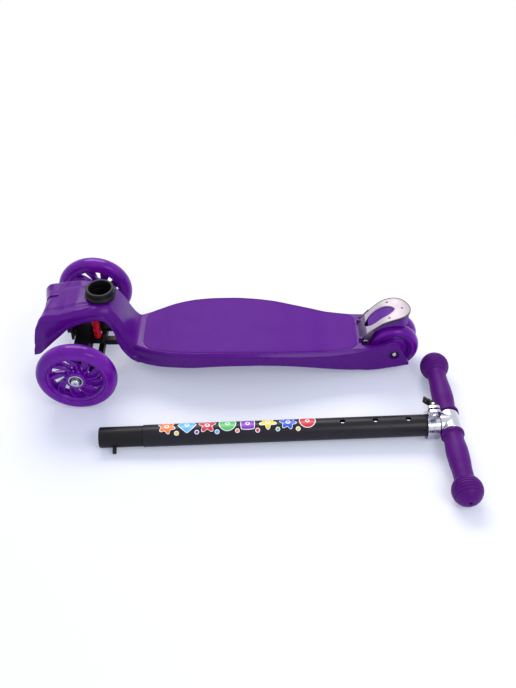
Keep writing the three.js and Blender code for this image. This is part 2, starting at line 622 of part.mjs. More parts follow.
// Tie rod: a flat bar with an eye at each end and a hole in the middle for the bracket's nose
function tieRodSolid() {
  const half = tieRod.depth / 2;
  const eyeZ = [rodZ - tieRod.eyeHeight / 2, rodZ + tieRod.eyeHeight / 2];
  const middle = box([rodX - half, rodX + half], [-kingY / 2, kingY / 2],
    [rodZ - tieRod.height / 2, rodZ + tieRod.height / 2]);
  const flatBar = box([rodX - half, rodX + half], [-kingY, kingY], eyeZ);
  const eyes = hands.map(([, hand]) => rod(tieRod.eyeRadius, eyeZ, 'z', sides.tube,
    [rodX, hand * kingY, 0]));
  return cutAll(joinAll([middle, flatBar, ...eyes]), [
    rod(bracket.noseRadius + tieRod.play, [0, wheelbase], 'x', sides.pin, [0, 0, rodZ]),
    ...hands.map(([, hand]) => rod(knuckle.pinRadius + tieRod.play, [0, hood.height], 'z', sides.pin,
      [rodX, hand * kingY, 0])),
  ]);
}

place(axleGroup, 'tie_rod', tieRodSolid(), 'steel');

// Wheels: a tyre on a spoked hub with two ball bearings; the front ones light up as they roll
const treadShares = [[0, 0.86], [0.16, 1], [0.62, 0.97], [0.88, 0.68], [1, 0.24]];

function tyreSolid(wheel) {
  const half = wheel.width / 2;
  const inside = wheel.hubRadius + gap;
  const upper = treadShares.map(([out, side]) => [between(inside, wheel.radius, out), side * half]);
  return turned([...upper.map(([r, y]) => [r, -y]), ...upper.slice().reverse()], 'y', wheel.sides);
}

const bladeShares = {
  start: 0.06, open: 0.72, twist: 0.42, depth: 0.66, rim: 0.76, coreWall: 0.36, radii: [0.06, 0.94],
};

function hubSolid(wheel) {
  const half = wheel.width / 2;
  const core = bearing.outer + gap;
  const coreOut = core * (1 + bladeShares.coreWall);
  const rimIn = wheel.hubRadius - wheel.rimWall;
  const pitch = 2 * Math.PI / wheel.bladeCount;
  const windows = [];
  for (let i = 0; i < wheel.bladeCount; i += 1) {
    const at = (radius, share) => {
      const lag = bladeShares.twist * (radius - coreOut) / (rimIn - coreOut) * pitch;
      const angle = (i + share) * pitch + lag;
      return [radius * Math.cos(angle), radius * Math.sin(angle)];
    };
    const radii = bladeShares.radii.map((share) => between(coreOut, rimIn, share));
    const [a, b] = [bladeShares.start, bladeShares.start + bladeShares.open];
    windows.push([...radii.map((r) => at(r, a)), ...radii.slice().reverse().map((r) => at(r, b))]);
  }
  const outline = arcPoints(wheel.hubRadius, wheel.sides);
  const web = prism(outline, [-half * bladeShares.depth, half * bladeShares.depth], 'y', windows);
  const sleeve = rod(coreOut, [-half, half], 'y', sides.ring);
  const rimHalf = half * bladeShares.rim;
  const rim = ring(rimIn, wheel.hubRadius, [-rimHalf, rimHalf], 'y', wheel.sides);
  return joinAll([web, sleeve, rim]).subtract(rod(core, [-wheel.width, wheel.width], 'y', sides.ring));
}

function placeBearings(group, prefix, name, wheel, hand, centre) {
  const half = wheel.width / 2;
  for (const [end, side] of [['inner', -hand], ['outer', hand]]) {
    const along = [side * half, side * (half - bearing.width)];
    const solid = ring(bearing.bore, bearing.outer, along, 'y', sides.ring);
    place(group, `${prefix}_bearing_${end}_${name}`, solid, 'steel', centre);
  }
}

const ledClear = front.width / 2 - bearing.width - gap;
for (const [name, hand] of hands) {
  const centre = [0, hand * wheelY, axleZ];
  place(axleGroup, `knuckle_${name}`, steeringKnuckle(hand), 'black');
  const head = [hand * (wheelOuter + gap), hand * (wheelOuter + gap + bolt.headHeight)];
  place(axleGroup, `axle_bolt_${name}`, joinAll([
    rod(bolt.radius, [hand * boltInner, head[0]], 'y', sides.pin),
    rod(bolt.headRadius, head, 'y', sides.small),
  ]), 'steel', [0, 0, axleZ]);
  place(axleGroup, `magnet_spacer_${name}`,
    ring(bearing.bore, led.spacer, [-ledClear, ledClear], 'y', sides.ring), 'steel', centre);
  place(axleGroup, `front_tyre_${name}`, tyreSolid(front), 'tyre', centre);
  place(axleGroup, `front_hub_${name}`, hubSolid(front), 'hub', centre);
  placeBearings(axleGroup, 'front', name, front, hand, centre);
  place(axleGroup, `led_ring_${name}`,
    ring(led.inner, bearing.outer, [-ledClear, ledClear], 'y', sides.ring), 'leds', centre);
  const rearCentre = [wheelbase, hand * rear.spread / 2, rearAxleZ];
  place(deckGroup, `rear_tyre_${name}`, tyreSolid(rear), 'tyre', rearCentre);
  place(deckGroup, `rear_hub_${name}`, hubSolid(rear), 'hub', rearCentre);
  placeBearings(deckGroup, 'rear', name, rear, hand, rearCentre);
}

// Foot brake: a stamped steel loop over a moulded pad, hinged in front of the back wheels
const sideShares = [
  [-0.1, 0.02], [0, 0.25], [0.18, 0.57], [0.35, 0.8], [0.49, 0.9], [0.62, 0.95], [0.78, 0.97], [0.93, 0.94],
];
const planShares = [
  [-0.14, 0.9], [0, 0.855], [0.18, 0.94], [0.36, 1], [0.49, 0.99], [0.62, 0.95], [0.76, 0.79], [0.85, 0.53],
  [0.905, 0.26], [0.925, 0.06],
];
const holeShares = [
  [-0.02, 0.05], [0.03, 0.25], [0.1, 0.46], [0.2, 0.52], [0.32, 0.5], [0.455, 0.4], [0.55, 0.22],
  [0.6, 0.06],
];
const sidePoint = ([a, b]) => [brake.hingeX + a * brake.length, brake.hingeZ + b * brake.rise];
const brakeSide = sideShares.map(sidePoint);
const planPoint = ([a, b]) => [brake.hingeX + a * brake.length, b * brake.halfWidth];
const brakePlan = (shares) => mirrored(shares.map(planPoint));

// The side profile moved square to itself, downwards
function sunk(amount) {
  return brakeSide.map(([x, z], i) => {
    const [before, after] = [brakeSide.at(Math.max(i - 1, 0)), brakeSide[i + 1] ?? brakeSide.at(-1)];
    const [dx, dz] = [after[0] - before[0], after[1] - before[1]];
    const size = Math.hypot(dx, dz);
    return [x + amount * dz / size, z - amount * dx / size];
  });
}

function sheetBand(thickness) {
  const far = brake.halfWidth + overrun;
  return prism([...brakeSide, ...sunk(thickness).reverse()], [-far, far], 'y');
}

function inset(outline, amount) {
  const count = outline.length;
  return outline.map(([x, y], i) => {
    const [before, after] = [outline[(i + count - 1) % count], outline[(i + 1) % count]];
    const [dx, dy] = [after[0] - before[0], after[1] - before[1]];
    const size = Math.hypot(dx, dy);
    return [x + amount * dy / size, y - amount * dx / size];
  });
}

const brakeOutline = brakePlan(planShares);
const brakeHole = brakePlan(holeShares);
const tall = [0, hood.height];

function brakePlate() {
  const whole = prism(brakeOutline, tall, 'z').subtract(prism(brakeHole, tall, 'z'));
  const rimBand = prism(brakeOutline, tall, 'z')
    .subtract(prism(inset(brakeOutline, brake.sheet), tall, 'z'));
  const skin = whole.intersect(sheetBand(brake.sheet));
  const skirt = rimBand.intersect(sheetBand(brake.rim));
  const earShares = [[-0.07, 0.02], [-0.05, -0.08], [0.05, -0.08], [0.16, 0.4], [0.12, 0.42], [0, 0.22]];
  const earY = brake.lugHalf + brake.lugWall + gap * 2;
  const ears = hands.map(([, hand]) => prism(earShares.map(sidePoint),
    [hand * earY, hand * (earY + brake.sheet)], 'y'));
  const pinHole = rod(brake.pinRadius + gap, [-brake.halfWidth * 2, brake.halfWidth * 2], 'y', sides.pin,
    [brake.hingeX, 0, brake.hingeZ]);
  const lugRoom = hands.map(([, hand]) => box([board.panelEnd - overrun, brake.lugRear + runClear],
    [hand * (brake.lugHalf - runClear), hand * earY], [0, brake.lugTop + runClear]));
  const springRoom = rod(brake.springRadius + gap * 2, [-brake.lugHalf, brake.lugHalf], 'y', sides.pin,
    [brake.hingeX, 0, brake.hingeZ]);
  return cutAll(joinAll([skin, skirt, ...ears]), [pinHole, springRoom, ...lugRoom]);
}

// The pad fills the space under the sheet down to an arc that follows the wheels
const padShares = { start: 0.05, end: 0.88 };

function brakePad() {
  const far = wheelbase + rear.radius * 2;
  const start = brake.hingeX + padShares.start * brake.length;
  const end = brake.hingeX + padShares.end * brake.length;
  const under = sunk(brake.sheet + gap * 2);
  const body = prism([...under, [far, rearAxleZ], [brake.hingeX, rearAxleZ]],
    [-brake.padHalf, brake.padHalf], 'y');
  const zone = box([start, end], [-far, far], [rearAxleZ + rear.radius / 2, hood.height]);
  const wheelSpace = rod(rear.radius + brake.padClear, [-far, far], 'y', rear.sides,
    [wheelbase, 0, rearAxleZ]);
  const lugSpace = box([0, brake.lugRear + runClear * 2], [-far, far], [0, brake.lugTop + runClear * 2]);
  const inside = prism(inset(brakeOutline, brake.sheet + gap * 2), tall, 'z');
  return cutAll(body.intersect(zone).intersect(inside), [wheelSpace, lugSpace]);
}

place(deckGroup, 'brake_plate', brakePlate(), 'steel');
place(deckGroup, 'brake_pad', brakePad(), 'pad');
const pinReach = brake.lugHalf + brake.lugWall + gap * 2 + brake.sheet + gap;
place(deckGroup, 'brake_pin', joinAll([
  rod(brake.pinRadius, [-pinReach, pinReach], 'y', sides.pin),
  ...hands.map(([, hand]) => rod(brake.pinHead, [hand * pinReach, hand * (pinReach + brake.pinHeadHeight)],
    'y', sides.pin)),
]), 'steel', [brake.hingeX, 0, brake.hingeZ]);
place(deckGroup, 'brake_spring',
  ring(brake.pinRadius + gap, brake.springRadius, [-brake.lugHalf / 2, brake.lugHalf / 2], 'y', sides.pin),
  'steel', [brake.hingeX, 0, brake.hingeZ]);

// Handlebar column: drawn along its own X from the lower end, then laid on the floor so that
// it rests on the tube's lower edge and on the two ball ends of the grips
const handleRoom = grip.ballRadius - bar.outerRadius;
const layTilt = Math.asin(handleRoom / (bar.handleX - bar.sleeveLength));
const startZ = grip.ballRadius - bar.handleX * Math.sin(layTilt);
barGroup.rotation.set(0, -layTilt, toRadians(bar.yawDegrees), 'ZYX');
barGroup.position.set(bar.startX, bar.startY, startZ);

const outerBore = bar.outerRadius - bar.outerWall;
const clampEnd = clamp.start + clamp.length;

function outerTube() {
  const tube = ring(outerBore, bar.outerRadius, [bar.sleeveLength + gap, bar.outerEnd], 'x', sides.tube);
  const holes = [];
  for (let i = 0; i < bar.holeCount; i += 1) {
    holes.push(rod(bar.holeRadius, [0, bar.outerRadius * 2], 'z', sides.pin,
      [bar.topHole - i * bar.holePitch, 0, 0]));
  }
  const slit = box([clamp.start - runClear, bar.outerEnd + overrun], [-clamp.slot / 2, clamp.slot / 2],
    [0, bar.outerRadius * 2]);
  return cutAll(tube, [...holes, slit]);
}

const lockTurn = toRadians(lock.elevationDegrees);

// Turns a piece drawn along +Z to point at the lock button's side of the tube
function towardLock(geometry) {
  geometry.rotateX(Math.PI / 2 - lockTurn);
  geometry.translate(lock.x, 0, 0);
  return toSolid(geometry);
}

function alongZ(radius, low, high, count) {
  const geometry = new THREE.CylinderGeometry(radius, radius, high - low, count);
  geometry.rotateX(Math.PI / 2);
  geometry.translate(0, 0, (low + high) / 2);
  return geometry;
}

const sleeveBore = bar.sleeveRadius - bar.sleeveWall;
const spigotRadius = outerBore - gap;
const lockBaseTop = sleeveBore - lock.baseDrop;

function lowerSleeve() {
  const spigotEnd = bar.sleeveLength + bar.spigot;
  const body = turned([
    [sleeveBore, 0], [bar.sleeveRadius, 0], [bar.sleeveRadius, bar.sleeveLength],
    [spigotRadius, bar.sleeveLength], [spigotRadius, spigotEnd], [sleeveBore, spigotEnd],
  ], 'x', sides.tube);
  return body.subtract(towardLock(alongZ(lock.radius + gap, 0, bar.outerRadius, sides.pin)));
}

function lockButton() {
  return joinAll([
    towardLock(alongZ(lock.radius, lockBaseTop - lock.base, bar.sleeveRadius + lock.proud, sides.pin)),
    towardLock(alongZ(lock.baseRadius, lockBaseTop - lock.base, lockBaseTop, sides.pin)),
  ]);
}

function lockSpring() {
  const top = lockBaseTop - lock.base - gap;
  return towardLock(alongZ(lock.springRadius, lock.base - sleeveBore, top, sides.pin));
}

place(barGroup, 'outer_tube', outerTube(), 'tube');
place(barGroup, 'lower_sleeve', lowerSleeve(), 'black');
place(barGroup, 'lock_button', lockButton(), 'black');
place(barGroup, 'lock_spring', lockSpring(), 'steel');

// Telescopic part: inner tube, its guide bush and its own spring button, held in under the tube
const restButtonX = bar.topHole - bar.restSteps * bar.holePitch;
const innerStart = restButtonX - inner.buttonInset;
const teeStart = bar.outerEnd + inner.topFlange + gap * 2;
const innerEnd = bar.handleX - handle.radius - runClear;

function innerTube() {
  const tube = ring(inner.radius - inner.wall, inner.radius, [innerStart, innerEnd], 'x', sides.tube);
  return tube.subtract(rod(bar.holeRadius, [0, bar.outerRadius * 2], 'z', sides.pin, [restButtonX, 0, 0]));
}

const bushBore = inner.radius + gap;
place(barGroup, 'inner_tube', innerTube(), 'chrome');
place(barGroup, 'guide_bush', turned([
  [0, innerStart - gap - inner.bushWall], [outerBore - gap, innerStart - gap - inner.bushWall],
  [outerBore - gap, innerStart + inner.bushLength], [bushBore, innerStart + inner.bushLength],
  [bushBore, innerStart - gap], [0, innerStart - gap],
], 'x', sides.tube), 'black');
place(barGroup, 'height_button', joinAll([
  rod(bar.holeRadius - gap, [0, outerBore - runClear - gap], 'z', sides.pin, [restButtonX, 0, 0]),
  box([restButtonX - leaf.back, restButtonX + leaf.front], [-leaf.halfWidth, leaf.halfWidth],
    [-leaf.height / 2, leaf.height / 2]),
]), 'steel');
place(barGroup, 'top_bush', turned([
  [bushBore, bar.outerEnd - inner.topBush], [outerBore - gap, bar.outerEnd - inner.topBush],
  [outerBore - gap, bar.outerEnd + gap], [bar.outerRadius, bar.outerEnd + gap],
  [bar.outerRadius, bar.outerEnd + inner.topFlange], [bushBore, bar.outerEnd + inner.topFlange],
], 'x', sides.tube), 'black');

// Clamp collar: a split ring with two ears, a bolt, a nut and a cam lever along the tube
const earInner = clamp.slot / 2;
const earOuter = earInner + clamp.earWall;
const earTop = clamp.outer + clamp.earHeight;
const boltZ = clamp.outer + clamp.earHeight / 2;
const boltX = clamp.start + clamp.boltX;

function clampCollar() {
  const band = ring(bar.outerRadius + gap, clamp.outer, [clamp.start, clampEnd], 'x', sides.tube);
  const ears = box([clamp.start, clampEnd], [-earOuter, earOuter], [bar.outerRadius + runClear, earTop]);
  return cutAll(band.add(ears), [
    box([clamp.start - overrun, clampEnd + overrun], [-earInner, earInner], [0, earTop + overrun]),
    rod(clamp.boltRadius + gap, [-clamp.outer, clamp.outer], 'y', sides.pin, [boltX, 0, boltZ]),
  ]);
}

const nutY = -(earOuter + gap);
const camY = earOuter + gap * 2 + clamp.camRadius;
const leverZ = [boltZ - clamp.leverWidth / 2, boltZ + clamp.leverWidth / 2];

// The bolt ends in a cross pin that the cam lever turns on
function clampBolt() {
  const along = [nutY - clamp.nutHeight - runClear, camY];
  const shank = rod(clamp.boltRadius, along, 'y', sides.pin, [boltX, 0, boltZ]);
  return shank.add(rod(clamp.pinRadius, leverZ, 'z', sides.pin, [boltX, camY, 0]));
}

function clampLever() {
  const head = rod(clamp.camRadius, leverZ, 'z', sides.tube, [boltX, camY, 0]);
  const tip = boltX - clamp.leverLength;
  const blade = prism([
    [boltX, camY + clamp.camRadius], [boltX, camY + clamp.camRadius - clamp.leverWall],
    [tip, camY - clamp.leverWall], [tip - clamp.leverWall, camY], [tip, camY + clamp.leverWall / 2],
  ], leverZ, 'z');
  const reach = clamp.camRadius + runClear;
  const slotHalf = clamp.boltRadius + gap * 2;
  const shut = cutAll(head.add(blade), [
    box([boltX - reach, boltX + reach], [0, camY + reach], [boltZ - slotHalf, boltZ + slotHalf]),
    rod(clamp.pinRadius + gap, [0, earTop * 2], 'z', sides.pin, [boltX, camY, 0]),
    rod(clamp.leverWidth / 4, [0, camY * 2], 'y', sides.pin, [tip + clamp.leverWidth / 2, 0, boltZ]),
  ]);
  return shut.translate([-boltX, -camY, 0]).rotate([0, 0, -clamp.restDegrees])
    .translate([boltX, camY, 0]);
}

place(barGroup, 'clamp_collar', clampCollar(), 'chrome');
place(barGroup, 'clamp_bolt', clampBolt(), 'steel');
place(barGroup, 'clamp_nut',
  ring(clamp.boltRadius + gap, clamp.nutRadius, [nutY, nutY - clamp.nutHeight], 'y', sides.small),
  'steel', [boltX, 0, boltZ]);
place(barGroup, 'clamp_lever', clampLever(), 'black');

// Tee, handle tube and grips
function teeJoint() {
  const neck = rod(tee.neckRadius, [teeStart, bar.handleX], 'x', sides.tube);
  const arm = rod(tee.armRadius, [-tee.armHalf, tee.armHalf], 'y', sides.tube, [bar.handleX, 0, 0]);
  return cutAll(neck.add(arm), [
    rod(inner.radius + gap, [0, innerEnd + gap], 'x', sides.tube),
    rod(handle.radius + gap, [-handle.halfLength, handle.halfLength], 'y', sides.tube, [bar.handleX, 0, 0]),
  ]);
}

place(barGroup, 'tee_joint', teeJoint(), 'chrome');
place(barGroup, 'handle_tube', ring(handle.radius - inner.wall, handle.radius,
  [-handle.halfLength, handle.halfLength], 'y', sides.tube), 'steel', [bar.handleX, 0, 0]);

// Grip profile along the handle: flange, neck, belly, neck, then the ball
const gripShares = [[0, 1], [0.045, 1], [0.075, 0.86], [0.13, 0.84], [0.4, 0.93], [0.62, 0.9], [0.8, 0.83]];

function gripSolid() {
  const neckEnd = grip.ballCentre - Math.sqrt(grip.ballRadius ** 2 - grip.neck ** 2);
  const body = gripShares.map(([along, share]) => (
    [share * grip.flange, between(grip.start, neckEnd, along)]));
  const ball = [];
  const startAngle = Math.asin(grip.neck / grip.ballRadius);
  const steps = sides.small;
  for (let i = 0; i <= steps; i += 1) {
    const angle = between(Math.PI - startAngle, Math.asin(grip.endHole / grip.ballRadius), i / steps);
    ball.push([grip.ballRadius * Math.sin(angle), grip.ballCentre + grip.ballRadius * Math.cos(angle)]);
  }
  const boreEnd = handle.halfLength + gap;
  const bore = handle.radius + gap;
  return [[bore, grip.start], ...body, ...ball, [grip.endHole, boreEnd], [bore, boreEnd]];
}

for (const [name, hand] of hands) {
  const profile = gripSolid().map(([r, y]) => [r, hand * y]);
  place(barGroup, `grip_${name}`, turned(profile, 'y', sides.grip), 'grip', [bar.handleX, 0, 0]);
}

// The origin goes to the middle of the footprint, on the floor
const extent = new THREE.Box3().setFromObject(scooter, true);
const middle = extent.getCenter(new THREE.Vector3());
for (const part of [deckGroup, axleGroup, barGroup]) {
  part.position.sub(new THREE.Vector3(middle.x, middle.y, extent.min.z));
}
scooter.updateMatrixWorld(true);

export default scooter;
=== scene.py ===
# Looks of a small kick scooter: two light-up wheels in front, twin narrow wheels under a foot
# brake at the back, and its telescopic handlebar lying beside it. Every piece is drawn in
# millimetres from the front axle's middle on the floor, or from the handlebar's lower end,
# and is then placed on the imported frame, in metres.

import json
import math

import bmesh
import bpy
from mathutils import Matrix, Vector
from mathutils.geometry import tessellate_polygon

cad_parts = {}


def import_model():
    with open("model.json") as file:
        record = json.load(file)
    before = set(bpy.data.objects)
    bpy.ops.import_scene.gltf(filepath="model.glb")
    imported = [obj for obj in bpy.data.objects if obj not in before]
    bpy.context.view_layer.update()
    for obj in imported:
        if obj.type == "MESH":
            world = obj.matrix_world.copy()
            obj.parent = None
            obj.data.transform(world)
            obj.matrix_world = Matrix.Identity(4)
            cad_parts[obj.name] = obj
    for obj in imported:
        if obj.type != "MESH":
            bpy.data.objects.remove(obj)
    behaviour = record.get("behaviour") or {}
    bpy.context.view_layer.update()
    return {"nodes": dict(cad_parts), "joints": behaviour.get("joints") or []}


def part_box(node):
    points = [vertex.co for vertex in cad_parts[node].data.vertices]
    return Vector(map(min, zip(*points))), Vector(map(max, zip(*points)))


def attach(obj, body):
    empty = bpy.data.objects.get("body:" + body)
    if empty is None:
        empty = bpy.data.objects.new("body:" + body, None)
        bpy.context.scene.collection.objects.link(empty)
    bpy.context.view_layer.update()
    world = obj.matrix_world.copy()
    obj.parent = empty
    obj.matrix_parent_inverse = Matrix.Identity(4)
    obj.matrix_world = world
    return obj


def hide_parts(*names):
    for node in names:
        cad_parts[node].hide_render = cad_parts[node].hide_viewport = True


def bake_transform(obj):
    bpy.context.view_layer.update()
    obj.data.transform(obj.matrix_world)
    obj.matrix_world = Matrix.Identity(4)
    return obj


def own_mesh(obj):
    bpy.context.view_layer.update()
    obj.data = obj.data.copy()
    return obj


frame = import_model()
MM = 0.001
NAMES = {node.name: node for node in frame["nodes"].values()}
JOINTS = {joint["name"]: joint for joint in frame["joints"]}
HANDS = (("left", -1), ("right", 1))

# The camera of the photograph, fitted to the wheels, the deck and the handlebar
CAMERA_PLACE = (0.0171, -0.9114, 0.9628)
CAMERA_PITCH_DEGREES = 47.105
CAMERA_LENS = 45.24
CAMERA_SENSOR = 36

# Sizes of the CAD source that the looks repeat
WHEELBASE = 478
WALL = 4
BOARD = {"half_width": 70, "height": 71, "draft": 1.2, "well": 427}
HOOD = {
    "height": 133, "reach": 66, "swallow": 9.5, "slant": 13.6, "crown": 0.6, "dome": 6.5, "top": 131,
    "band": 1.7, "dip": 1.4, "step": 1.1, "fold": 0.83,
}
SOCKET = {"x": 30.4, "outer": 19, "bore": 15.6, "bottom": 79, "top": 131.4, "rim": 145}
REAR = {"radius": 40, "half": 12, "hub": 27, "rim_wall": 3, "aside": 13}
FRONT = {"radius": 60, "half": 12, "hub": 43, "blades": 9, "rim_wall": 3.5, "aside": 102.2}
BEARING = {"outer": 11, "bore": 4.2, "width": 7}
BRAKE = {"x": 433, "z": 58.5, "length": 73, "rise": 48, "half_width": 26.6, "sheet": 1.8, "rim": 4.5}
BAR = {
    "radius": 16, "wall": 1.5, "end": 489, "sleeve": 63, "sleeve_radius": 15, "bore": 11.5,
    "hole": 4, "top_hole": 445.6, "pitch": 47.5, "handle_x": 507.5,
}
CLAMP = {
    "start": 472.5, "length": 17.5, "outer": 20.5, "ear": 15, "ear_wall": 4.5, "slot": 3.6,
    "bolt_x": 481.25, "bolt_z": 28, "cam_y": 11.9, "cam": 5, "lever": 18, "width": 10,
    "rest_degrees": 50,
}
PANEL = {"start": 91, "end": 420, "margin": 2.3, "corner": 14, "proud": 0.3, "sunk": 1}
GRIP = {"start": 18.5, "ball": 120, "ball_radius": 22, "flange": 17, "neck": 14, "bore": 11.3, "hole": 2.5}
# The turn, round x, of the lock's hole in the socket and of its button in the sleeve
LOCK_TURN = math.radians(90 + 25)
# Points round a turned piece
FINE, RING, SMALL = 64, 40, 24


# Meshes

def placed(name, data):
    """A new object in the scene."""
    made = bpy.data.objects.new(name, data)
    bpy.context.scene.collection.objects.link(made)
    return made


def edited(obj, change):
    """Opens the object's mesh for a change and closes it again."""
    work = bmesh.new()
    work.from_mesh(obj.data)
    change(work)
    work.to_mesh(obj.data)
    work.free()
    return obj


def raw_object(verts, faces, merge=0.002):
    """A mesh in the scene: points closer than merge become one, and the faces look outward."""
    mesh = bpy.data.meshes.new("piece")
    mesh.from_pydata([tuple(v) for v in verts], [], faces)

    def clean(work):
        bmesh.ops.remove_doubles(work, verts=work.verts, dist=merge)
        bmesh.ops.recalc_face_normals(work, faces=work.faces)

    return edited(placed("piece", mesh), clean)


def moved(obj, place, angle=0, axis="Z"):
    """The piece turned round an axis through its origin and then shifted."""
    obj.data.transform(Matrix.Translation(place) @ Matrix.Rotation(angle, 4, axis))
    return obj


def apply_modifiers(obj):
    """The piece with its modifiers worked into its mesh."""
    graph = bpy.context.evaluated_depsgraph_get()
    mesh = bpy.data.meshes.new_from_object(obj.evaluated_get(graph))
    obj.modifiers.clear()
    obj.data = mesh
    return obj


def combined(obj, others, operation="DIFFERENCE"):
    """The piece less the others, or united with them; the others are then gone."""
    for other in others:
        step = obj.modifiers.new("combine", "BOOLEAN")
        step.operation = operation
        step.solver = "MANIFOLD"
        step.object = other
    apply_modifiers(obj)
    for other in others:
        bpy.data.objects.remove(other)
    return obj


def bevelled(obj, width, angle_degrees=40, segments=3):
    """The piece with its sharp edges rounded off."""
    step = obj.modifiers.new("bevel", "BEVEL")
    step.limit_method = "ANGLE"
    step.angle_limit = math.radians(angle_degrees)
    step.width = width
    step.segments = segments
    return apply_modifiers(obj)


def joined(pieces):
    """All pieces as one mesh in the first one's object."""
    first, *others = pieces

    def take_in(work):
        for other in others:
            work.from_mesh(other.data)

    edited(first, take_in)
    for other in others:
        bpy.data.objects.remove(other)
    return first


def melted(obj, voxel, rounds):
    """The piece in small cells and smoothed, so that its parts run into each other."""
    remesh = obj.modifiers.new("remesh", "REMESH")
    remesh.mode = "VOXEL"
    remesh.voxel_size = voxel
    smooth = obj.modifiers.new("smooth", "SMOOTH")
    smooth.iterations = rounds
    return apply_modifiers(obj)


def corner_points(before, corner, after, radius, steps):
    """An arc-like curve in place of a corner, as steps + 1 points."""
    to_before, to_after = before - corner, after - corner
    reach = min(radius, to_before.length * 0.45, to_after.length * 0.45)
    start = corner + to_before.normalized() * reach
    end = corner + to_after.normalized() * reach
    points = []
    for i in range(steps + 1):
        t = i / steps
        points.append(start * (1 - t) ** 2 + corner * 2 * t * (1 - t) + end * t * t)
    return points


def rounded(points, radii, steps=4, closed=False):
    """The outline with each corner rounded; a radius of 0 keeps the corner as one point."""
    corners = [Vector(p) for p in points]
    if not hasattr(radii, "__len__"):
        radii = [radii] * len(corners)
    count = len(corners)
    made = []
    for i, corner in enumerate(corners):
        inner = closed or 0 < i < count - 1
        if radii[i] > 0 and inner:
            made += corner_points(corners[i - 1], corner, corners[(i + 1) % count], radii[i], steps)
        else:
            made.append(corner)
    return made


def grid_faces(rows, columns, wrap_rows=False, wrap_columns=False):
    """Faces between rows of points that are equally long."""
    faces = []
    for i in range(rows if wrap_rows else rows - 1):
        for j in range(columns if wrap_columns else columns - 1):
            row, next_row, k = i * columns, (i + 1) % rows * columns, (j + 1) % columns
            faces.append((row + j, row + k, next_row + k, next_row + j))
    return faces


def doubled(faces, shift):
    """The faces, and after them their reversed copies for a second layer of points."""
    return [*faces, *[tuple(v + shift for v in reversed(face)) for face in faces]]


def closing_faces(line, shift, closed=False):
    """Faces between a line of point numbers and the same line in the second layer."""
    after = [*line[1:], line[0]] if closed else line[1:]
    return [(a, b, b + shift, a + shift) for a, b in zip(line, after)]


def lofted(loops, wrap=False):
    """A closed skin through closed loops of equal length, with flat ends."""
    count = len(loops[0])
    verts = [p for loop in loops for p in loop]
    faces = grid_faces(len(loops), count, wrap_rows=wrap, wrap_columns=True)
    if not wrap:
        faces.append(tuple(range(count)))
        faces.append(tuple((len(loops) - 1) * count + k for k in range(count)))
    return raw_object(verts, faces)


def lathe(profile, axis="z", centre=(0, 0, 0), count=RING, radii=0, steps=3, hand=1):
    """A closed profile of (radius, height) points turned round x, y or z; hand -1 mirrors it."""
    points = rounded([(r, hand * h) for r, h in profile], radii, steps, closed=True)
    loops = []
    for i in range(count):
        angle = i / count * math.tau
        c, s = math.cos(angle), math.sin(angle)
        loops.append([
            Vector({"x": (h, r * c, r * s), "y": (r * c, h, r * s), "z": (r * c, r * s, h)}[axis])
            + Vector(centre) for r, h in points
        ])
    return lofted(loops, wrap=True)


def rod(radius, low, high, axis, centre=(0, 0, 0), count=RING, edge=0):
    """A cylinder between two heights on an axis."""
    profile = [(0, low), (radius, low), (radius, high), (0, high)]
    return lathe(profile, axis, centre, count, [0, edge, edge, 0])


def block(x, y, z, edge=0):
    """A box between two values on each axis."""
    xs, ys, zs = sorted(x), sorted(y), sorted(z)
    verts = [(a, b, c) for a in xs for b in ys for c in zs]
    faces = [(0, 1, 3, 2), (4, 6, 7, 5), (0, 4, 5, 1), (2, 3, 7, 6), (0, 2, 6, 4), (1, 5, 7, 3)]
    made = raw_object(verts, faces)
    return bevelled(made, edge) if edge else made


PLANES = {"x": (1, 2, 0), "y": (0, 2, 1), "z": (0, 1, 2)}


def slab(outline, low, high, axis="z"):
    """A flat outline pushed along an axis; its points are in the other two axes."""
    tops = [tuple(t) for t in tessellate_polygon([[Vector((p[0], p[1], 0)) for p in outline]])]
    first, second, along = PLANES[axis]
    verts = []
    for level in (low, high):
        for point in outline:
            place = [0, 0, 0]
            place[first], place[second], place[along] = point[0], point[1], level
            verts.append(place)
    count = len(outline)
    return raw_object(verts, [*doubled(tops, count), *closing_faces(range(count), count, closed=True)])


def both_sides(half):
    """The (y, z) points of a right half, and after them their mirror image."""
    return [*half, *[(-y, z) for y, z in reversed(half)]]


def swept(path, radius, sides=8, closed=False):
    """A round wire along a path of points."""
    loops = []
    count = len(path)
    side = None
    for i, point in enumerate(path):
        before = path[i - 1] if closed or i else path[i]
        after = path[(i + 1) % count] if closed or i < count - 1 else path[i]
        ahead = (after - before).normalized()
        guide = side if side is not None else Vector((0, 0, 1)).cross(ahead)
        if guide.length < 0.01:
            guide = Vector((0, 1, 0)).cross(ahead)
        side = (guide - ahead * guide.dot(ahead)).normalized()
        up = ahead.cross(side)
        angles = [k / sides * math.tau for k in range(sides)]
        loops.append([point + (side * math.cos(a) + up * math.sin(a)) * radius for a in angles])
    return lofted(loops, wrap=closed)


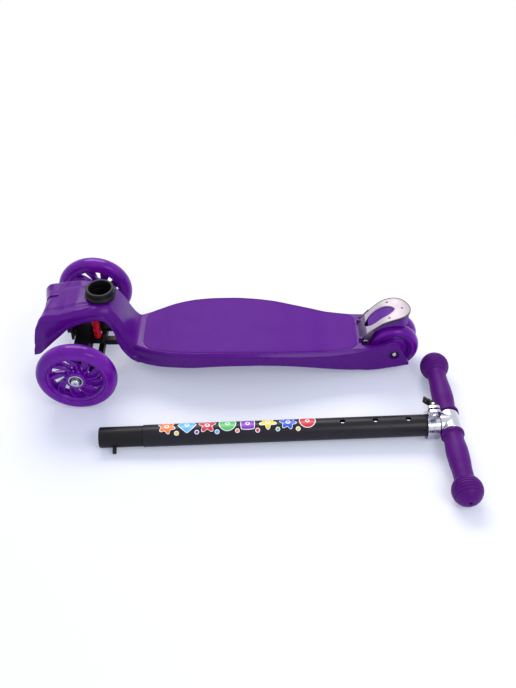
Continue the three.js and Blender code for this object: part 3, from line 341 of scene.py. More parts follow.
def smooth_curve(xs, ys):
    """A curve through the points that never overshoots them."""
    count = len(xs)
    slopes = [(ys[i + 1] - ys[i]) / (xs[i + 1] - xs[i]) for i in range(count - 1)]
    tangents = [slopes[0]]
    for i in range(1, count - 1):
        a, b = slopes[i - 1], slopes[i]
        tangents.append(0 if a * b <= 0 else 2 * a * b / (a + b))
    tangents.append(slopes[-1])

    def at(x):
        x = min(max(x, xs[0]), xs[-1])
        i = max(k for k in range(count - 1) if xs[k] <= x or k == 0)
        width = xs[i + 1] - xs[i]
        t = (x - xs[i]) / width
        return (
            (1 + 2 * t) * (1 - t) ** 2 * ys[i] + t * (1 - t) ** 2 * width * tangents[i]
            + t * t * (3 - 2 * t) * ys[i + 1] + t * t * (t - 1) * width * tangents[i + 1]
        )

    return at


# Places: the scooter's own frame and the handlebar's, in metres

def scooter_place():
    """From millimetres round the front axle's middle on the floor to the frame's metres."""
    middle = Vector()
    for name, _ in HANDS:
        low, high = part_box(f"front_tyre_{name}")
        middle += (low + high) / 4
    return Matrix.Translation((middle.x, middle.y, 0)) @ Matrix.Scale(MM, 4)


def bar_place():
    """From millimetres along the handlebar, z on its upper side, to the frame's metres."""
    along = Vector(JOINTS["handlebar_slide"]["axis"]).normalized()
    up = -Vector(JOINTS["lever_open"]["axis"]).normalized()
    side = up.cross(along).normalized()
    tube = [v.co for v in NAMES["outer_tube"].data.vertices]
    sleeve = [v.co for v in NAMES["lower_sleeve"].data.vertices]
    start = min(p.dot(along) for p in sleeve)
    mid = [
        (min(p.dot(a) for p in tube) + max(p.dot(a) for p in tube)) / 2 for a in (side, up)
    ]
    origin = along * start + side * mid[0] + up * mid[1]
    turn = Matrix((along, side, up)).transposed().to_4x4()
    return Matrix.Translation(origin) @ turn @ Matrix.Scale(MM, 4)


SCOOTER = scooter_place()
COLUMN = bar_place()
# Bodies whose pieces are drawn in the handlebar's frame
BAR_BODIES = ("column", "lock", "lever", "handlebar")


def dress(obj, name, look, body, stands_for=None, sharp_degrees=35):
    obj.name = name
    obj.data.name = name
    obj.data.transform(COLUMN if body in BAR_BODIES else SCOOTER)
    obj.data.shade_smooth()
    obj.data.set_sharp_from_angle(angle=math.radians(sharp_degrees))
    obj.data.materials.clear()
    obj.data.materials.append(LOOKS[look])
    if body:
        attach(obj, body)
    if stands_for:
        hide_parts(stands_for)


# Finishes

def cleared(owner):
    """A material or a world with an empty node tree."""
    owner.use_nodes = True
    owner.node_tree.nodes.clear()
    return owner


def add(look, kind, inputs=None, **settings):
    """A new node: inputs that are sockets are linked, and the others are set."""
    node = look.node_tree.nodes.new(kind)
    for key, value in settings.items():
        setattr(node, key, value)
    for key, value in (inputs or {}).items():
        if isinstance(value, bpy.types.NodeSocket):
            look.node_tree.links.new(value, node.inputs[key])
        else:
            node.inputs[key].default_value = value
    return node


def speckle(look, scale, detail):
    """Noise over the piece's own place, as a value around one half."""
    place = add(look, "ShaderNodeTexCoord")
    noise = add(look, "ShaderNodeTexNoise", {
        "Vector": place.outputs["Object"], "Scale": scale, "Detail": detail,
    })
    return noise.outputs["Fac"]


def ranged(look, value, low, high, start=0.3, end=0.7):
    """The value's stretch from start to end, spread from low to high."""
    node = add(look, "ShaderNodeMapRange", {
        "Value": value, "From Min": start, "From Max": end, "To Min": low, "To Max": high,
    })
    return node.outputs["Result"]


def finish_look(
    name, colour, second, roughness, grain=None, metallic=0.0, coat=0.0, edge=0.0,
    roughness_spread=0.04, mottle=40, specular=0.5, transmission=0.0,
):
    """A moulded, painted or metal finish: two close colours mottled, with soft edges or grain."""
    look = cleared(bpy.data.materials.new(name))
    tone = add(look, "ShaderNodeMix", {
        "Factor": ranged(look, speckle(look, mottle, 4), 0, 1), 6: (*colour, 1), 7: (*second, 1),
    }, data_type="RGBA")
    low, high = roughness - roughness_spread, roughness + roughness_spread
    inputs = {
        "Base Color": tone.outputs[2], "Metallic": metallic, "Specular IOR Level": specular,
        "Roughness": ranged(look, speckle(look, mottle * 2, 2), low, high),
        "Coat Weight": coat, "Coat Roughness": 0.06, "Coat IOR": 1.3, "Transmission Weight": transmission,
    }
    if edge:
        inputs["Normal"] = add(look, "ShaderNodeBevel", {"Radius": edge}, samples=4).outputs["Normal"]
    elif grain:
        scale, depth = grain
        inputs["Normal"] = add(look, "ShaderNodeBump", {
            "Height": speckle(look, scale, 2), "Strength": 0.5, "Distance": depth,
        }).outputs["Normal"]
    shader = add(look, "ShaderNodeBsdfPrincipled", inputs)
    add(look, "ShaderNodeOutputMaterial", {"Surface": shader.outputs["BSDF"]})
    return look


LOOKS = {
    "shell": finish_look(
        "shell_purple", (0.092, 0.001, 0.205), (0.1, 0.0015, 0.22), 0.3, (160, 0.00002),
        specular=0.165, coat=0.03),
    "panel": finish_look(
        "deck_panel_purple", (0.1, 0.01, 0.225), (0.108, 0.013, 0.238), 0.5, (900, 0.00003),
        specular=0.07),
    "tyre": finish_look(
        "tyre_purple", (0.09, 0.001, 0.24), (0.2, 0.007, 0.38), 0.16, (120, 0.00002), coat=0.08,
        transmission=0.05, roughness_spread=0.03, specular=0.16, mottle=26),
    "hub": finish_look(
        "hub_purple", (0.11, 0.001, 0.29), (0.19, 0.006, 0.4), 0.14, coat=0.15,
        transmission=0.08, roughness_spread=0.03, specular=0.2, mottle=60, edge=0.0004),
    "black": finish_look(
        "black_nylon", (0.0035, 0.003, 0.004), (0.006, 0.005, 0.007), 0.42, (700, 0.00004),
        specular=0.22),
    "steel": finish_look(
        "zinc_steel", (0.62, 0.63, 0.68), (0.5, 0.52, 0.58), 0.3, (2000, 0.00002), metallic=1),
    # Steel painted darker, with a purple tint: painted shade, and painted reflection of the purple shell.
    "steel_in_painted_shade": finish_look(
        "steel_painted_shade", (0.12, 0.08, 0.16), (0.17, 0.12, 0.22), 0.34, (2000, 0.00002), metallic=0.7),
    "bright": finish_look(
        "polished_metal", (0.62, 0.62, 0.7), (0.55, 0.56, 0.64), 0.16, metallic=1, edge=0.0005,
        roughness_spread=0.03),
    "satin": finish_look(
        "satin_aluminium", (0.53, 0.465, 0.49), (0.48, 0.42, 0.45), 0.5, (600, 0.00002), metallic=0.3,
        roughness_spread=0.05),
    # A near-black purple strip over the brake's rim: painted shade.
    "edge_painted_shade": finish_look(
        "rim_painted_shade", (0.035, 0.025, 0.045), (0.05, 0.035, 0.06), 0.4, metallic=0.4),
    "red": finish_look(
        "red_rubber", (0.62, 0.004, 0.022), (0.52, 0.003, 0.018), 0.4, (700, 0.00004), specular=0.2),
    "grip": finish_look(
        "grip_rubber", (0.08, 0.004, 0.145), (0.094, 0.006, 0.17), 0.45, (1200, 0.00006),
        specular=0.11),
    "tube": finish_look(
        "black_powder_coat", (0.01, 0.0085, 0.0135), (0.0145, 0.012, 0.019), 0.36, (1500, 0.00004),
        specular=0.22),
    "leds": finish_look(
        "light_unit_white", (0.8, 0.8, 0.86), (0.7, 0.7, 0.78), 0.25, coat=0.3),
    "pad": finish_look(
        "brake_pad_purple", (0.1, 0.014, 0.26), (0.14, 0.03, 0.31), 0.5, (900, 0.0003), specular=0.2),
    "gap": finish_look(
        "seal_black", (0.004, 0.004, 0.005), (0.007, 0.007, 0.008), 0.5, specular=0.2),
    # The wire round the deck panel: painted shade of a groove.
    "line": finish_look(
        "groove_shade", (0.05, 0.001, 0.13), (0.056, 0.002, 0.14), 0.5, specular=0.1),
}


# The shell: hood, deck and wings as one skin with an inside, then cut

# Hood rows: along (share of the hood's reach), ridge half width (share of the board's half
# width), ridge height (share of the hood's height), foot half width, foot height
HOOD_SHARES = [
    (-1.0, 0.67, 0.775, 0.728, 0.425), (-0.95, 0.66, 0.822, 0.732, 0.43),
    (-0.87, 0.65, 0.858, 0.735, 0.45), (-0.79, 0.645, 0.873, 0.743, 0.504),
    (-0.61, 0.65, 0.883, 0.714, 0.602), (-0.41, 0.664, 0.899, 0.686, 0.699),
    (-0.23, 0.65, 0.915, 0.668, 0.782), (0.08, 0.571, 0.95, 0.614, 0.842),
    (0.3, 0.47, 0.973, 0.571, 0.857), (0.45, 0.428, 0.983, 0.557, 0.861),
    (0.6, 0.407, 0.968, 0.543, 0.827), (0.7, 0.393, 0.947, 0.543, 0.752),
    (0.76, 0.386, 0.914, 0.546, 0.677), (0.83, 0.38, 0.865, 0.565, 0.519),
    (0.91, 0.386, 0.797, 0.586, 0.421), (1.0, 0.407, 0.695, 0.58, 0.34),
    (1.07, 0.44, 0.602, 0.575, 0.29), (1.15, 0.478, 0.514, 0.57, 0.25),
]
# Deck rows: along (share of the wheelbase), ridge half width, ridge height (share of the
# board's height), edge half width, edge height, foot height
DECK_SHARES = [
    (0.174, 0.514, 0.85, 0.578, 0.79, 0.405), (0.2, 0.594, 0.846, 0.66, 0.796, 0.42),
    (0.23, 0.69, 0.862, 0.739, 0.824, 0.437), (0.293, 0.836, 0.924, 0.899, 0.875, 0.534),
    (0.356, 0.907, 0.968, 0.966, 0.921, 0.585), (0.418, 0.927, 0.993, 0.993, 0.939, 0.641),
    (0.481, 0.93, 1.0, 1.0, 0.941, 0.669), (0.544, 0.914, 0.986, 0.989, 0.924, 0.672),
    (0.607, 0.879, 0.955, 0.959, 0.889, 0.642), (0.669, 0.813, 0.904, 0.899, 0.834, 0.568),
    (0.732, 0.739, 0.851, 0.831, 0.776, 0.466), (0.795, 0.664, 0.8, 0.749, 0.731, 0.346),
    (0.858, 0.593, 0.803, 0.68, 0.73, 0.256), (0.889, 0.575, 0.804, 0.64, 0.755, 0.22),
]
# Wing rows: along (share of the back wheel's radius, from its axle), ridge half width (share
# of the board's half width), ridge height (share of the wheel's radius), foot height
WING_SHARES = [
    (-0.95, 0.583, 1.43, 0.335), (-0.55, 0.554, 1.53, 0.33), (-0.1, 0.52, 1.655, 0.365),
    (0.07, 0.514, 1.57, 0.385), (0.33, 0.514, 1.08, 0.45), (0.6, 0.514, 0.6, 0.51),
]
SHOULDER_SHARES = (0.65, 0.3)
WING_EDGE_SHARES = (1.03, 0.975)
WELL_HALF = 32.9
REAR_AXLE = Vector((WHEELBASE, 0, REAR["radius"]))


def board_rows():
    """Rows of x, ridge y and z, edge y and z, foot y and z."""
    rows = []
    half, high = BOARD["half_width"], HOOD["height"]
    for along, ridge_half, ridge_up, foot_half, foot_up in HOOD_SHARES:
        ridge, foot = (ridge_half * half, ridge_up * high), (foot_half * half, foot_up * high)
        edge = [ridge[i] + (foot[i] - ridge[i]) * SHOULDER_SHARES[i] for i in (0, 1)]
        rows.append((along * HOOD["reach"], *ridge, *edge, *foot))
    for along, ridge_half, ridge_up, edge_half, edge_up, foot_up in DECK_SHARES:
        ridge = (ridge_half * half, ridge_up * BOARD["height"])
        edge = (edge_half * half, edge_up * BOARD["height"])
        foot = (edge[0] - BOARD["draft"], foot_up * BOARD["height"])
        rows.append((along * WHEELBASE, *ridge, *edge, *foot))
    for along, ridge_half, ridge_up, foot_up in WING_SHARES:
        ridge = (ridge_half * half, ridge_up * REAR["radius"])
        edge = (ridge[0] * WING_EDGE_SHARES[0], ridge[1] * WING_EDGE_SHARES[1])
        foot = (edge[0], foot_up * REAR["radius"])
        rows.append((WHEELBASE + along * REAR["radius"], *ridge, *edge, *foot))
    return rows


ROWS = board_rows()
ROW_CURVES = [smooth_curve([r[0] for r in ROWS], [r[k] for r in ROWS]) for k in range(1, 7)]
BOARD_START, BOARD_END = ROWS[0][0], ROWS[-1][0]


def row_at(x):
    """Ridge, edge and foot of the board at an x, each as y and z."""
    return [curve(x) for curve in ROW_CURVES]


def ramp(value, start, end):
    """Zero up to start, one from end on, smooth between; start may be above end."""
    t = min(max((value - start) / (end - start), 0), 1)
    return t * t * (3 - 2 * t)


def nose_shift(x, y, z):
    """How far a point of the hood's nose moves: hollowed in plan, with ears that slant forward."""
    share = min(max(-x / HOOD["reach"], 0), 1) ** 2
    out = min(abs(y) / (BOARD["half_width"] * HOOD_SHARES[0][3]), 1)
    down = min(max(1 - z / (HOOD_SHARES[0][2] * HOOD["height"]), 0), 1)
    return share * (HOOD["swallow"] * (1 - out * out) - HOOD["slant"] * down)


# The roof's fall and relief: places along x and the step's bow in millimetres, places across as
# shares of the ridge's half width; each pair is a start and an end for ramp()
ROOF = {
    "hood_end": (52, 30), "fall_power": 2.2, "fall_on_hood": 0.12, "step_x": -27, "step_bow": 5,
    "step_half": 37, "step_run": 2.5, "step_sides": (0.95, 0.7), "dip_inner": (0.42, 0.54),
    "dip_outer": (0.74, 0.58), "dip_start": (-64, -50),
}


def roof_height(x, y):
    """The deck is nearly flat; the hood is raised, with a step, folded sides and a long dip each."""
    ridge_y, ridge_z = row_at(x)[:2]
    share = min(abs(y) / ridge_y, 1)
    on_hood = ramp(x, *ROOF["hood_end"])
    dome = min(max(HOOD["top"] - ridge_z, HOOD["crown"]), HOOD["dome"])
    crown = HOOD["crown"] + (dome - HOOD["crown"]) * on_hood
    across = ramp(share, *ROOF["dip_inner"]) * ramp(share, *ROOF["dip_outer"])
    dip = HOOD["dip"] * on_hood * across * ramp(x, *ROOF["dip_start"])
    step_x = ROOF["step_x"] + ROOF["step_bow"] * (share * ridge_y / ROOF["step_half"]) ** 2
    step = HOOD["step"] * ramp(x, step_x, step_x - ROOF["step_run"]) * ramp(share, *ROOF["step_sides"])
    folded = max((share - HOOD["fold"]) / (1 - HOOD["fold"]), 0)
    curved = share ** ROOF["fall_power"]
    on_roof = curved * ROOF["fall_on_hood"] + folded * (1 - ROOF["fall_on_hood"])
    fall = curved * (1 - on_hood) + on_roof * on_hood
    return ridge_z + crown * (1 - fall) - dip - step


ROOF_COLUMNS = [
    0, 0.05, 0.1, 0.14, 0.17, 0.2, 0.23, 0.26, 0.29, 0.32, 0.36, 0.4, 0.45, 0.52, 0.6, 0.7, 0.77,
    0.81, 0.83, 0.85, 0.88, 0.92, 0.96,
]
# The sides: their rows, where along x they lose their relief, a rim and a shallow dent at shares
# of the way down to the foot, and the radii of the ridge's and the edge's bend: on the deck, and
# what the hood's is more
SIDE = {
    "steps": 14, "soft_end": (130, 70), "rim": (0.56, 0.66), "dent_top": (0.2, 0.34),
    "dent_low": (0.52, 0.38), "dent": 0.55, "bends": ((1.6, 3.4), (1.8, 6.2)),
}


def section_half(x, wall=0):
    """From the middle of the roof out and down to the foot, as (y, z) points, a wall further in."""
    ridge_y, ridge_z, edge_y, edge_z, foot_y, foot_z = row_at(x)
    soft = ramp(x, *SIDE["soft_end"])
    ridge_in, edge_down = wall * 0.75, wall * 0.6
    ridge_bend, edge_bend = [sharp + extra * soft for sharp, extra in SIDE["bends"]]
    inner_y = ridge_y - ridge_in
    roof = [Vector((inner_y * share, roof_height(x, ridge_y * share) - wall)) for share in ROOF_COLUMNS]
    foot = Vector((foot_y - wall, foot_z))
    corners = [roof[-1], (inner_y, ridge_z - wall), (edge_y - wall, edge_z - edge_down), foot]
    bends = rounded(corners, [0, ridge_bend, edge_bend, 0], 6)[1:-1]
    down = []
    for i in range(SIDE["steps"]):
        t = (i + 1) / SIDE["steps"]
        dent = SIDE["dent"] * ramp(t, *SIDE["dent_top"]) * ramp(t, *SIDE["dent_low"])
        band = HOOD["band"] * soft * (ramp(t, *SIDE["rim"]) - dent)
        down.append(bends[-1].lerp(foot, t) + Vector((band, 0)))
    return roof + bends + down


# How far apart the shell's sections lie: each row is an x and the step up to it
SECTION_STEPS = [(-50, 1.5), (40, 3), (100, 1.5), (430, 6), (BOARD_END, 3)]


def shell_stations():
    """Where along x the shell's sections lie: close together at the nose and the neck."""
    stations, x = [], BOARD_START
    while x < BOARD_END:
        stations.append(x)
        x += next(step for limit, step in SECTION_STEPS if x < limit)
    return [*stations, BOARD_END]


def shell_skin():
    """The outer and the inner skin, joined along the feet and at both ends."""
    stations = shell_stations()
    verts = []
    for wall in (0, WALL):
        for x in stations:
            half = section_half(x, wall)
            line = [*[(-y, z) for y, z in reversed(half[1:])], *half]
            verts += [(x + nose_shift(x, y, z), y, z) for y, z in line]
    rows, size = len(stations), len(verts) // 2
    columns = size // rows
    faces = doubled(grid_faces(rows, columns), size)
    for start, step, count in (
        (0, columns, rows), (columns - 1, columns, rows), (0, 1, columns), (size - columns, 1, columns),
    ):
        faces += closing_faces(range(start, start + step * count, step), size)
    return raw_object(verts, faces)


def rib_plates():
    """Cross and long ribs that hang 15 mm under the board's roof."""
    depth, wall, embed, reach = 15, 2.4, 1.5, 27
    plates = []
    for x in range(160, 430, 70):
        ridge_y, ridge_z, edge_y, edge_z = row_at(x)[:4]
        half = [
            (ridge_y - embed, ridge_z - embed), (edge_y - embed * 2, edge_z - embed * 2),
            (edge_y - embed * 2, ridge_z - depth),
        ]
        plates.append(slab(both_sides(half), x, x + wall, "x"))
    top = [(x, roof_height(x, reach) - embed) for x in range(88, 424, 8)]
    low = [(x, z - depth + embed) for x, z in reversed(top)]
    for _, hand in HANDS:
        plates.append(slab([*top, *low], hand * reach - wall / 2, hand * reach + wall / 2, "y"))
    return plates


def rear_structure():
    """The wall before the wheel well, the brake's lugs and the bosses for the rear axle."""
    wall_start, wall_low, embed = 423, 41, 1
    ridge_y, ridge_z, edge_y, edge_z = row_at(BOARD["well"])[:4]
    half = [
        (ridge_y - embed, ridge_z - embed), (edge_y - embed * 2, edge_z - embed),
        (edge_y - embed * 2, wall_low),
    ]
    pieces = [bevelled(slab(both_sides(half), wall_start, BOARD["well"], "x"), 0.6)]
    lug = rounded([(423, 44), (438.5, 44), (438.5, 63), (423, 63)], [0, 6, 8, 0], 5, closed=True)
    boss = [(4.4, 25.4), (8, 25.4), (8.6, WELL_HALF + 1.5), (4.4, WELL_HALF + 1.5)]
    for _, hand in HANDS:
        pieces.append(bevelled(slab(lug, hand * 19, hand * 23, "y"), 0.5))
        pieces.append(lathe(boss, "y", REAR_AXLE, radii=[0.3, 0.8, 0, 0], hand=hand))
    return pieces


def front_recess():
    """The cutter of the shallow recess in the nose; its floor falls away to the far side."""
    deep, shallow, low, high, half, nose_z, top = 1.8, 0.6, -65, -39, 9.5, 115, 150
    rows, columns = 8, 6
    loops = []
    for i in range(rows + 1):
        y = half * (2 * i / rows - 1)
        depth = shallow + (deep - shallow) * i / rows
        xs = [low + (high - low) * k / columns for k in range(columns + 1)]
        bottom = [(x + nose_shift(x, y, nose_z), y, roof_height(x, y) - depth) for x in xs]
        loops.append([*bottom, (bottom[-1][0], y, top), (bottom[0][0], y, top)])
    return lofted(loops)


def scooter_shell():
    """The moulding: its skin with all openings cut, its ribs, lugs and bosses."""
    skin = shell_skin()
    wing_outer = WING_SHARES[3][1] * WING_EDGE_SHARES[0] * BOARD["half_width"]
    inside, outside, seat_radius, mouth_radius = wing_outer - 2.7, wing_outer + 3, 7.4, 8.6
    cutters = [
        block((BOARD["well"], BOARD_END + 20), (-WELL_HALF, WELL_HALF), (0, HOOD["height"])),
        rod(SOCKET["outer"] + 0.6, 100, 160, "z", (SOCKET["x"], 0, 0), FINE),
        front_recess(), rod(BEARING["bore"], -60, 60, "y", REAR_AXLE),
    ]
    for _, hand in HANDS:
        seat = [(0, inside), (seat_radius, inside), (mouth_radius, outside), (0, outside)]
        cutters.append(lathe(seat, "y", REAR_AXLE, hand=hand))
    combined(skin, cutters)
    joined([skin, *rib_plates(), *rear_structure()])
    dress(skin, "scooter_shell", "shell", "deck", "deck_board", sharp_degrees=30)


def panel_half_width(x):
    """The deck panel's half width: a margin inside the ridge, with round corners at its ends."""
    corner = PANEL["corner"]
    half = row_at(x)[0] - PANEL["margin"]
    for edge in (x - PANEL["start"], PANEL["end"] - x):
        if edge < corner:
            half -= corner - math.sqrt(max(corner ** 2 - (corner - edge) ** 2, 0))
    return half


def panel_stations():
    """Where along x the panel's rows lie: close together at its round ends."""
    start, end, corner = PANEL["start"], PANEL["end"], PANEL["corner"]
    ends = [corner * (1 - math.cos(i / 10 * math.pi / 2)) for i in range(10)]
    middle = range(start + corner, end - corner, 7)
    return [*[start + e for e in ends], *middle, *[end - e for e in reversed(ends)]]


def deck_panel():
    """The matte standing surface, a little proud of the board, and the dark wire that frames it, painted
    shade of a groove.
    """
    columns, line_radius, line_out, line_up = 24, 0.42, 1.008, 0.02
    loops, rim = [], []
    for x in panel_stations():
        half = panel_half_width(x)
        ys = [half * (2 * j / columns - 1) for j in range(columns + 1)]
        top = [(x, y, roof_height(x, y) + PANEL["proud"]) for y in ys]
        low = [(x, y, roof_height(x, y) - PANEL["sunk"]) for y in reversed(ys)]
        loops.append([*top, *low])
        rim.append((x, half))
    panel = bevelled(lofted(loops), PANEL["proud"], 60, 2)
    dress(panel, "deck_panel", "panel", "deck")
    ring = [*rim, *[(x, -half) for x, half in reversed(rim)]]
    path = [Vector((x, y * line_out, roof_height(x, y) + line_up)) for x, y in ring]
    dress(swept(path, line_radius, closed=True), "deck_panel_line", "line", "deck")


# Steering socket and its collar

def socket_tube():
    """The tube through the hood, with a flange on the roof and the lock's hole in its side."""
    top, bottom, outer, bore = SOCKET["top"], SOCKET["bottom"], SOCKET["outer"], SOCKET["bore"]
    flange, seat, thick, drain, floor_top = 20.5, 109.3, 2.5, 11, SOCKET["bottom"] + 1.5
    profile = [
        (drain, bottom), (outer, bottom), (outer, seat), (flange, seat), (flange, seat + thick),
        (outer, seat + thick), (outer, top), (bore, top), (bore, floor_top), (drain, floor_top),
    ]
    radii = [0.3, 0.8, 0, 0.4, 0.4, 0, 0.4, 0.4, 0, 0.3]
    tube = lathe(profile, "z", (SOCKET["x"], 0, 0), FINE, radii)
    hole_radius, hole_z = 3.6, bottom + 23.8
    hole = rod(hole_radius, 5, 40, "z", count=SMALL)
    combined(tube, [moved(hole, (SOCKET["x"], 0, hole_z), LOCK_TURN, "X")])
    dress(tube, "socket_tube", "black", "deck", "steering_socket")


def socket_collar():
    """The ring on the socket's top, with upright ribs round it."""
    inside, bottom, rim = SOCKET["bore"] + 0.3, SOCKET["top"] + 0.6, SOCKET["rim"]
    foot, neck, lip = 23.5, 20.9, 17
    profile = [
        (inside, bottom), (foot, bottom), (foot, bottom + 3), (neck, bottom + 4.5), (neck, rim),
        (lip, rim), (inside, rim - 9),
    ]
    collar = lathe(profile, "z", (SOCKET["x"], 0, 0), FINE, [0.3, 0.8, 1.0, 1.0, 1.6, 1.0, 1])
    count, rib_depth, rib_width, rib_height = 20, (20.2, 21.5), (-0.6, 0.6), (bottom + 5.2, rim - 2.4)
    ribs = []
    for i in range(count):
        rib = block(rib_depth, rib_width, rib_height, 0.3)
        ribs.append(moved(rib, (SOCKET["x"], 0, 0), i / count * math.tau))
    dress(joined([collar, *ribs]), "socket_collar_ring", "black", "deck", "socket_collar")


# Wheels

def mirrored_profile(flank, half):
    """A wheel's profile from its (radius, share of the half width) points on one side."""
    low = [(r, -half * share) for r, share in flank]
    high = [(r, half * share) for r, share in reversed(flank)]
    return [*low, *high]


def tyre(wheel, centre):
    """A tyre with a round tread, down to its seat on the hub."""
    inside, outside = wheel["hub"] + 0.3, wheel["radius"]
    depth = outside - inside
    shares = [(0, 0.86), (0.1, 0.98), (0.3, 1), (0.62, 0.95), (0.86, 0.7), (0.97, 0.36), (1, 0.1)]
    profile = mirrored_profile([(inside + depth * out, side) for out, side in shares], wheel["half"])
    radii = [0.5, 1.5, depth * 0.3, depth * 0.3, depth * 0.3, depth * 0.2, 0]
    return lathe(profile, "y", centre, FINE + 32, [*radii, *reversed(radii)], 4)


# How far a hub's blade falls back on its way out, in radians
BLADE_LAG = 0.42


def hub_blade(wheel, inner, outer, start):
    """One turbine blade: a curved vane that leans as it goes out."""
    section = [(-1, -0.8), (-0.4, -1), (0.7, -1), (1, -0.6), (1, 0.7), (0.4, 1), (-0.7, 1), (-1, 0.6)]
    steps, depth = 7, wheel["half"] * 0.52
    waist, root_more, tip_more, most_lean = 2.1, 2.2, 2.4, 2.6
    loops = []
    for i in range(steps + 1):
        t = i / steps
        angle = start + BLADE_LAG * t * t
        width = waist + root_more * (1 - t) + tip_more * t * t
        lean = most_lean * math.sin(t * math.pi)
        out = Vector((math.cos(angle), 0, math.sin(angle)))
        side = Vector((-out.z, 0, out.x))
        spot = out * (inner + (outer - inner) * t)
        loops.append([
            spot + side * (a * width / 2 + lean * b / 2) + Vector((0, b * depth, 0)) for a, b in section
        ])
    return lofted(loops)


def hub(wheel, centre):
    """Rim and core, with a dish between them at the back and turbine blades at the front."""
    half = wheel["half"]
    rim_inner = wheel["hub"] - wheel["rim_wall"]
    core = BEARING["outer"] + 0.3

    def turned(flank, radii):
        return lathe(mirrored_profile(flank, half), "y", centre, FINE, radii)

    rim = turned([(rim_inner - 0.6, 0.6), (wheel["hub"] - 1, 0.86), (wheel["hub"], 0.8)], 0.6)
    sleeve = turned([(core, 1), (core + 3, 1), (core + 4.6, 0.7)], [0.3, 0.8, 1.2, 1.2, 0.8, 0.3])
    if wheel is REAR:
        dish = [
            (core + 3, 0.72), (core + 5.2, 0.7), (core + 5.8, 0.6), (core + 6.8, 0.62),
            (rim_inner - 3, 0.5), (rim_inner - 2, 0.42), (rim_inner + 0.6, 0.5),
        ]
        return joined([rim, sleeve, turned(dish, 0.5)])
    web = turned([(core + 3, 0.16), (rim_inner + 0.6, 0.1)], 0)
    windows, blades = [], []
    pitch = math.tau / wheel["blades"]
    inner, outer = core + 7, rim_inner - 2.5
    for i in range(wheel["blades"]):
        corners = []
        for r, spread in ((inner, -0.14), (inner, 0.14), (outer, 0.17), (outer, -0.17)):
            lag = BLADE_LAG * ((r - core - 4) / (rim_inner - core - 4)) ** 2
            angle = i * pitch + pitch / 2 + lag + spread * pitch
            corners.append((r * math.cos(angle), r * math.sin(angle)))
        windows.append(moved(slab(rounded(corners, 1.8, 4, closed=True), -6, 6, "y"), centre))
        blades.append(moved(hub_blade(wheel, core + 3.5, rim_inner + 1, i * pitch), centre))
    combined(web, windows)
    return joined([rim, sleeve, web, *blades])


def ball_bearing(side, half, centre):
    """The races of a small ball bearing, as one ring, and the seal between them on its face."""
    outer, bore, dip = BEARING["outer"], BEARING["bore"], half - 0.45
    profile = [
        (bore, half - BEARING["width"]), (outer, half - BEARING["width"]), (outer, half), (9.4, half),
        (9.1, dip), (6.7, dip), (6.4, half), (bore, half),
    ]
    radii = [0.3, 0.4, 0.5, 0.2, 0, 0, 0.2, 0.4]
    ring = lathe(profile, "y", centre, radii=radii, hand=side)
    seal = lathe([(6.75, dip), (9.05, dip), (9.05, dip + 0.27), (6.75, dip + 0.27)], "y", centre, hand=side)
    return ring, seal


def bolt_head(hand, start, radius, height, centre):
    """A domed cap with a hexagon socket."""
    top = start + height
    profile = [(0, start), (radius, start), (radius, top - height / 4), (radius * 0.8, top), (0, top)]
    head = lathe(profile, "y", centre, radii=[0, 0.4, 1.2, 1.2, 0], hand=hand)
    hexagon = [(2.7 * math.cos(k * math.tau / 6), 2.7 * math.sin(k * math.tau / 6)) for k in range(6)]
    socket = slab(hexagon, hand * (start + height * 0.35), hand * (top + 2), "y")
    return combined(head, [moved(socket, centre)])


def wheel_pieces(kind, name, hand, wheel, centre):
    """What every wheel has: tyre, hub and two bearings with their seals."""
    body = f"{kind}_wheel_{name}"
    dress(tyre(wheel, centre), f"{body}_tyre", "tyre", body, f"{kind}_tyre_{name}")
    dress(hub(wheel, centre), f"{body}_hub", "hub", body, f"{kind}_hub_{name}")
    for end, side in (("inner", -hand), ("outer", hand)):
        ring, seal = ball_bearing(side, wheel["half"], centre)
        dress(ring, f"{body}_bearing_{end}", "steel", body, f"{kind}_bearing_{end}_{name}")
        dress(seal, f"{body}_bearing_seal_{end}", "gap", body)


def front_wheel(name, hand):
    """A light-up wheel: the pieces of every wheel, its light ring, six lamps and the axle's cap."""
    body, axle = f"front_wheel_{name}", Vector((0, 0, FRONT["radius"]))
    centre = axle + Vector((0, hand * FRONT["aside"], 0))
    wheel_pieces("front", name, hand, FRONT, centre)
    inner, outer, reach = 8.3, 11, FRONT["half"] - BEARING["width"] - 0.3
    ring = lathe([(inner, -reach), (outer, -reach), (outer, reach), (inner, reach)], "y", centre, radii=0.4)
    dress(ring, f"{body}_light_ring", "leds", body, f"led_ring_{name}")
    count, first_angle, dome = 6, 0.3, [(0, 0), (1.7, 0), (1.7, 1.4), (0, 2.2)]
    lamps = []
    for k in range(count):
        lamp = lathe(dome, "z", (0, 0, 14.6), SMALL, [0, 0.2, 0.9, 0])
        lamps.append(moved(lamp, centre, k / count * math.tau + first_angle, "Y"))
    dress(joined(lamps), f"{body}_lamps", "leds", body)
    head_start, shank_start, shank_end = FRONT["aside"] + 12.3, 81, 114.6
    head = bolt_head(hand, head_start, 6.4, 4.6, axle)
    shank = rod(3.9, *sorted((hand * shank_start, hand * shank_end)), "y", axle, SMALL)
    dress(joined([head, shank]), f"axle_cap_{name}", "bright", f"knuckle_{name}", f"axle_bolt_{name}")


def rear_wheel(name, hand):
    """A plain wheel beside the middle of the rear axle."""
    wheel_pieces("rear", name, hand, REAR, REAR_AXLE + Vector((0, hand * REAR["aside"], 0)))


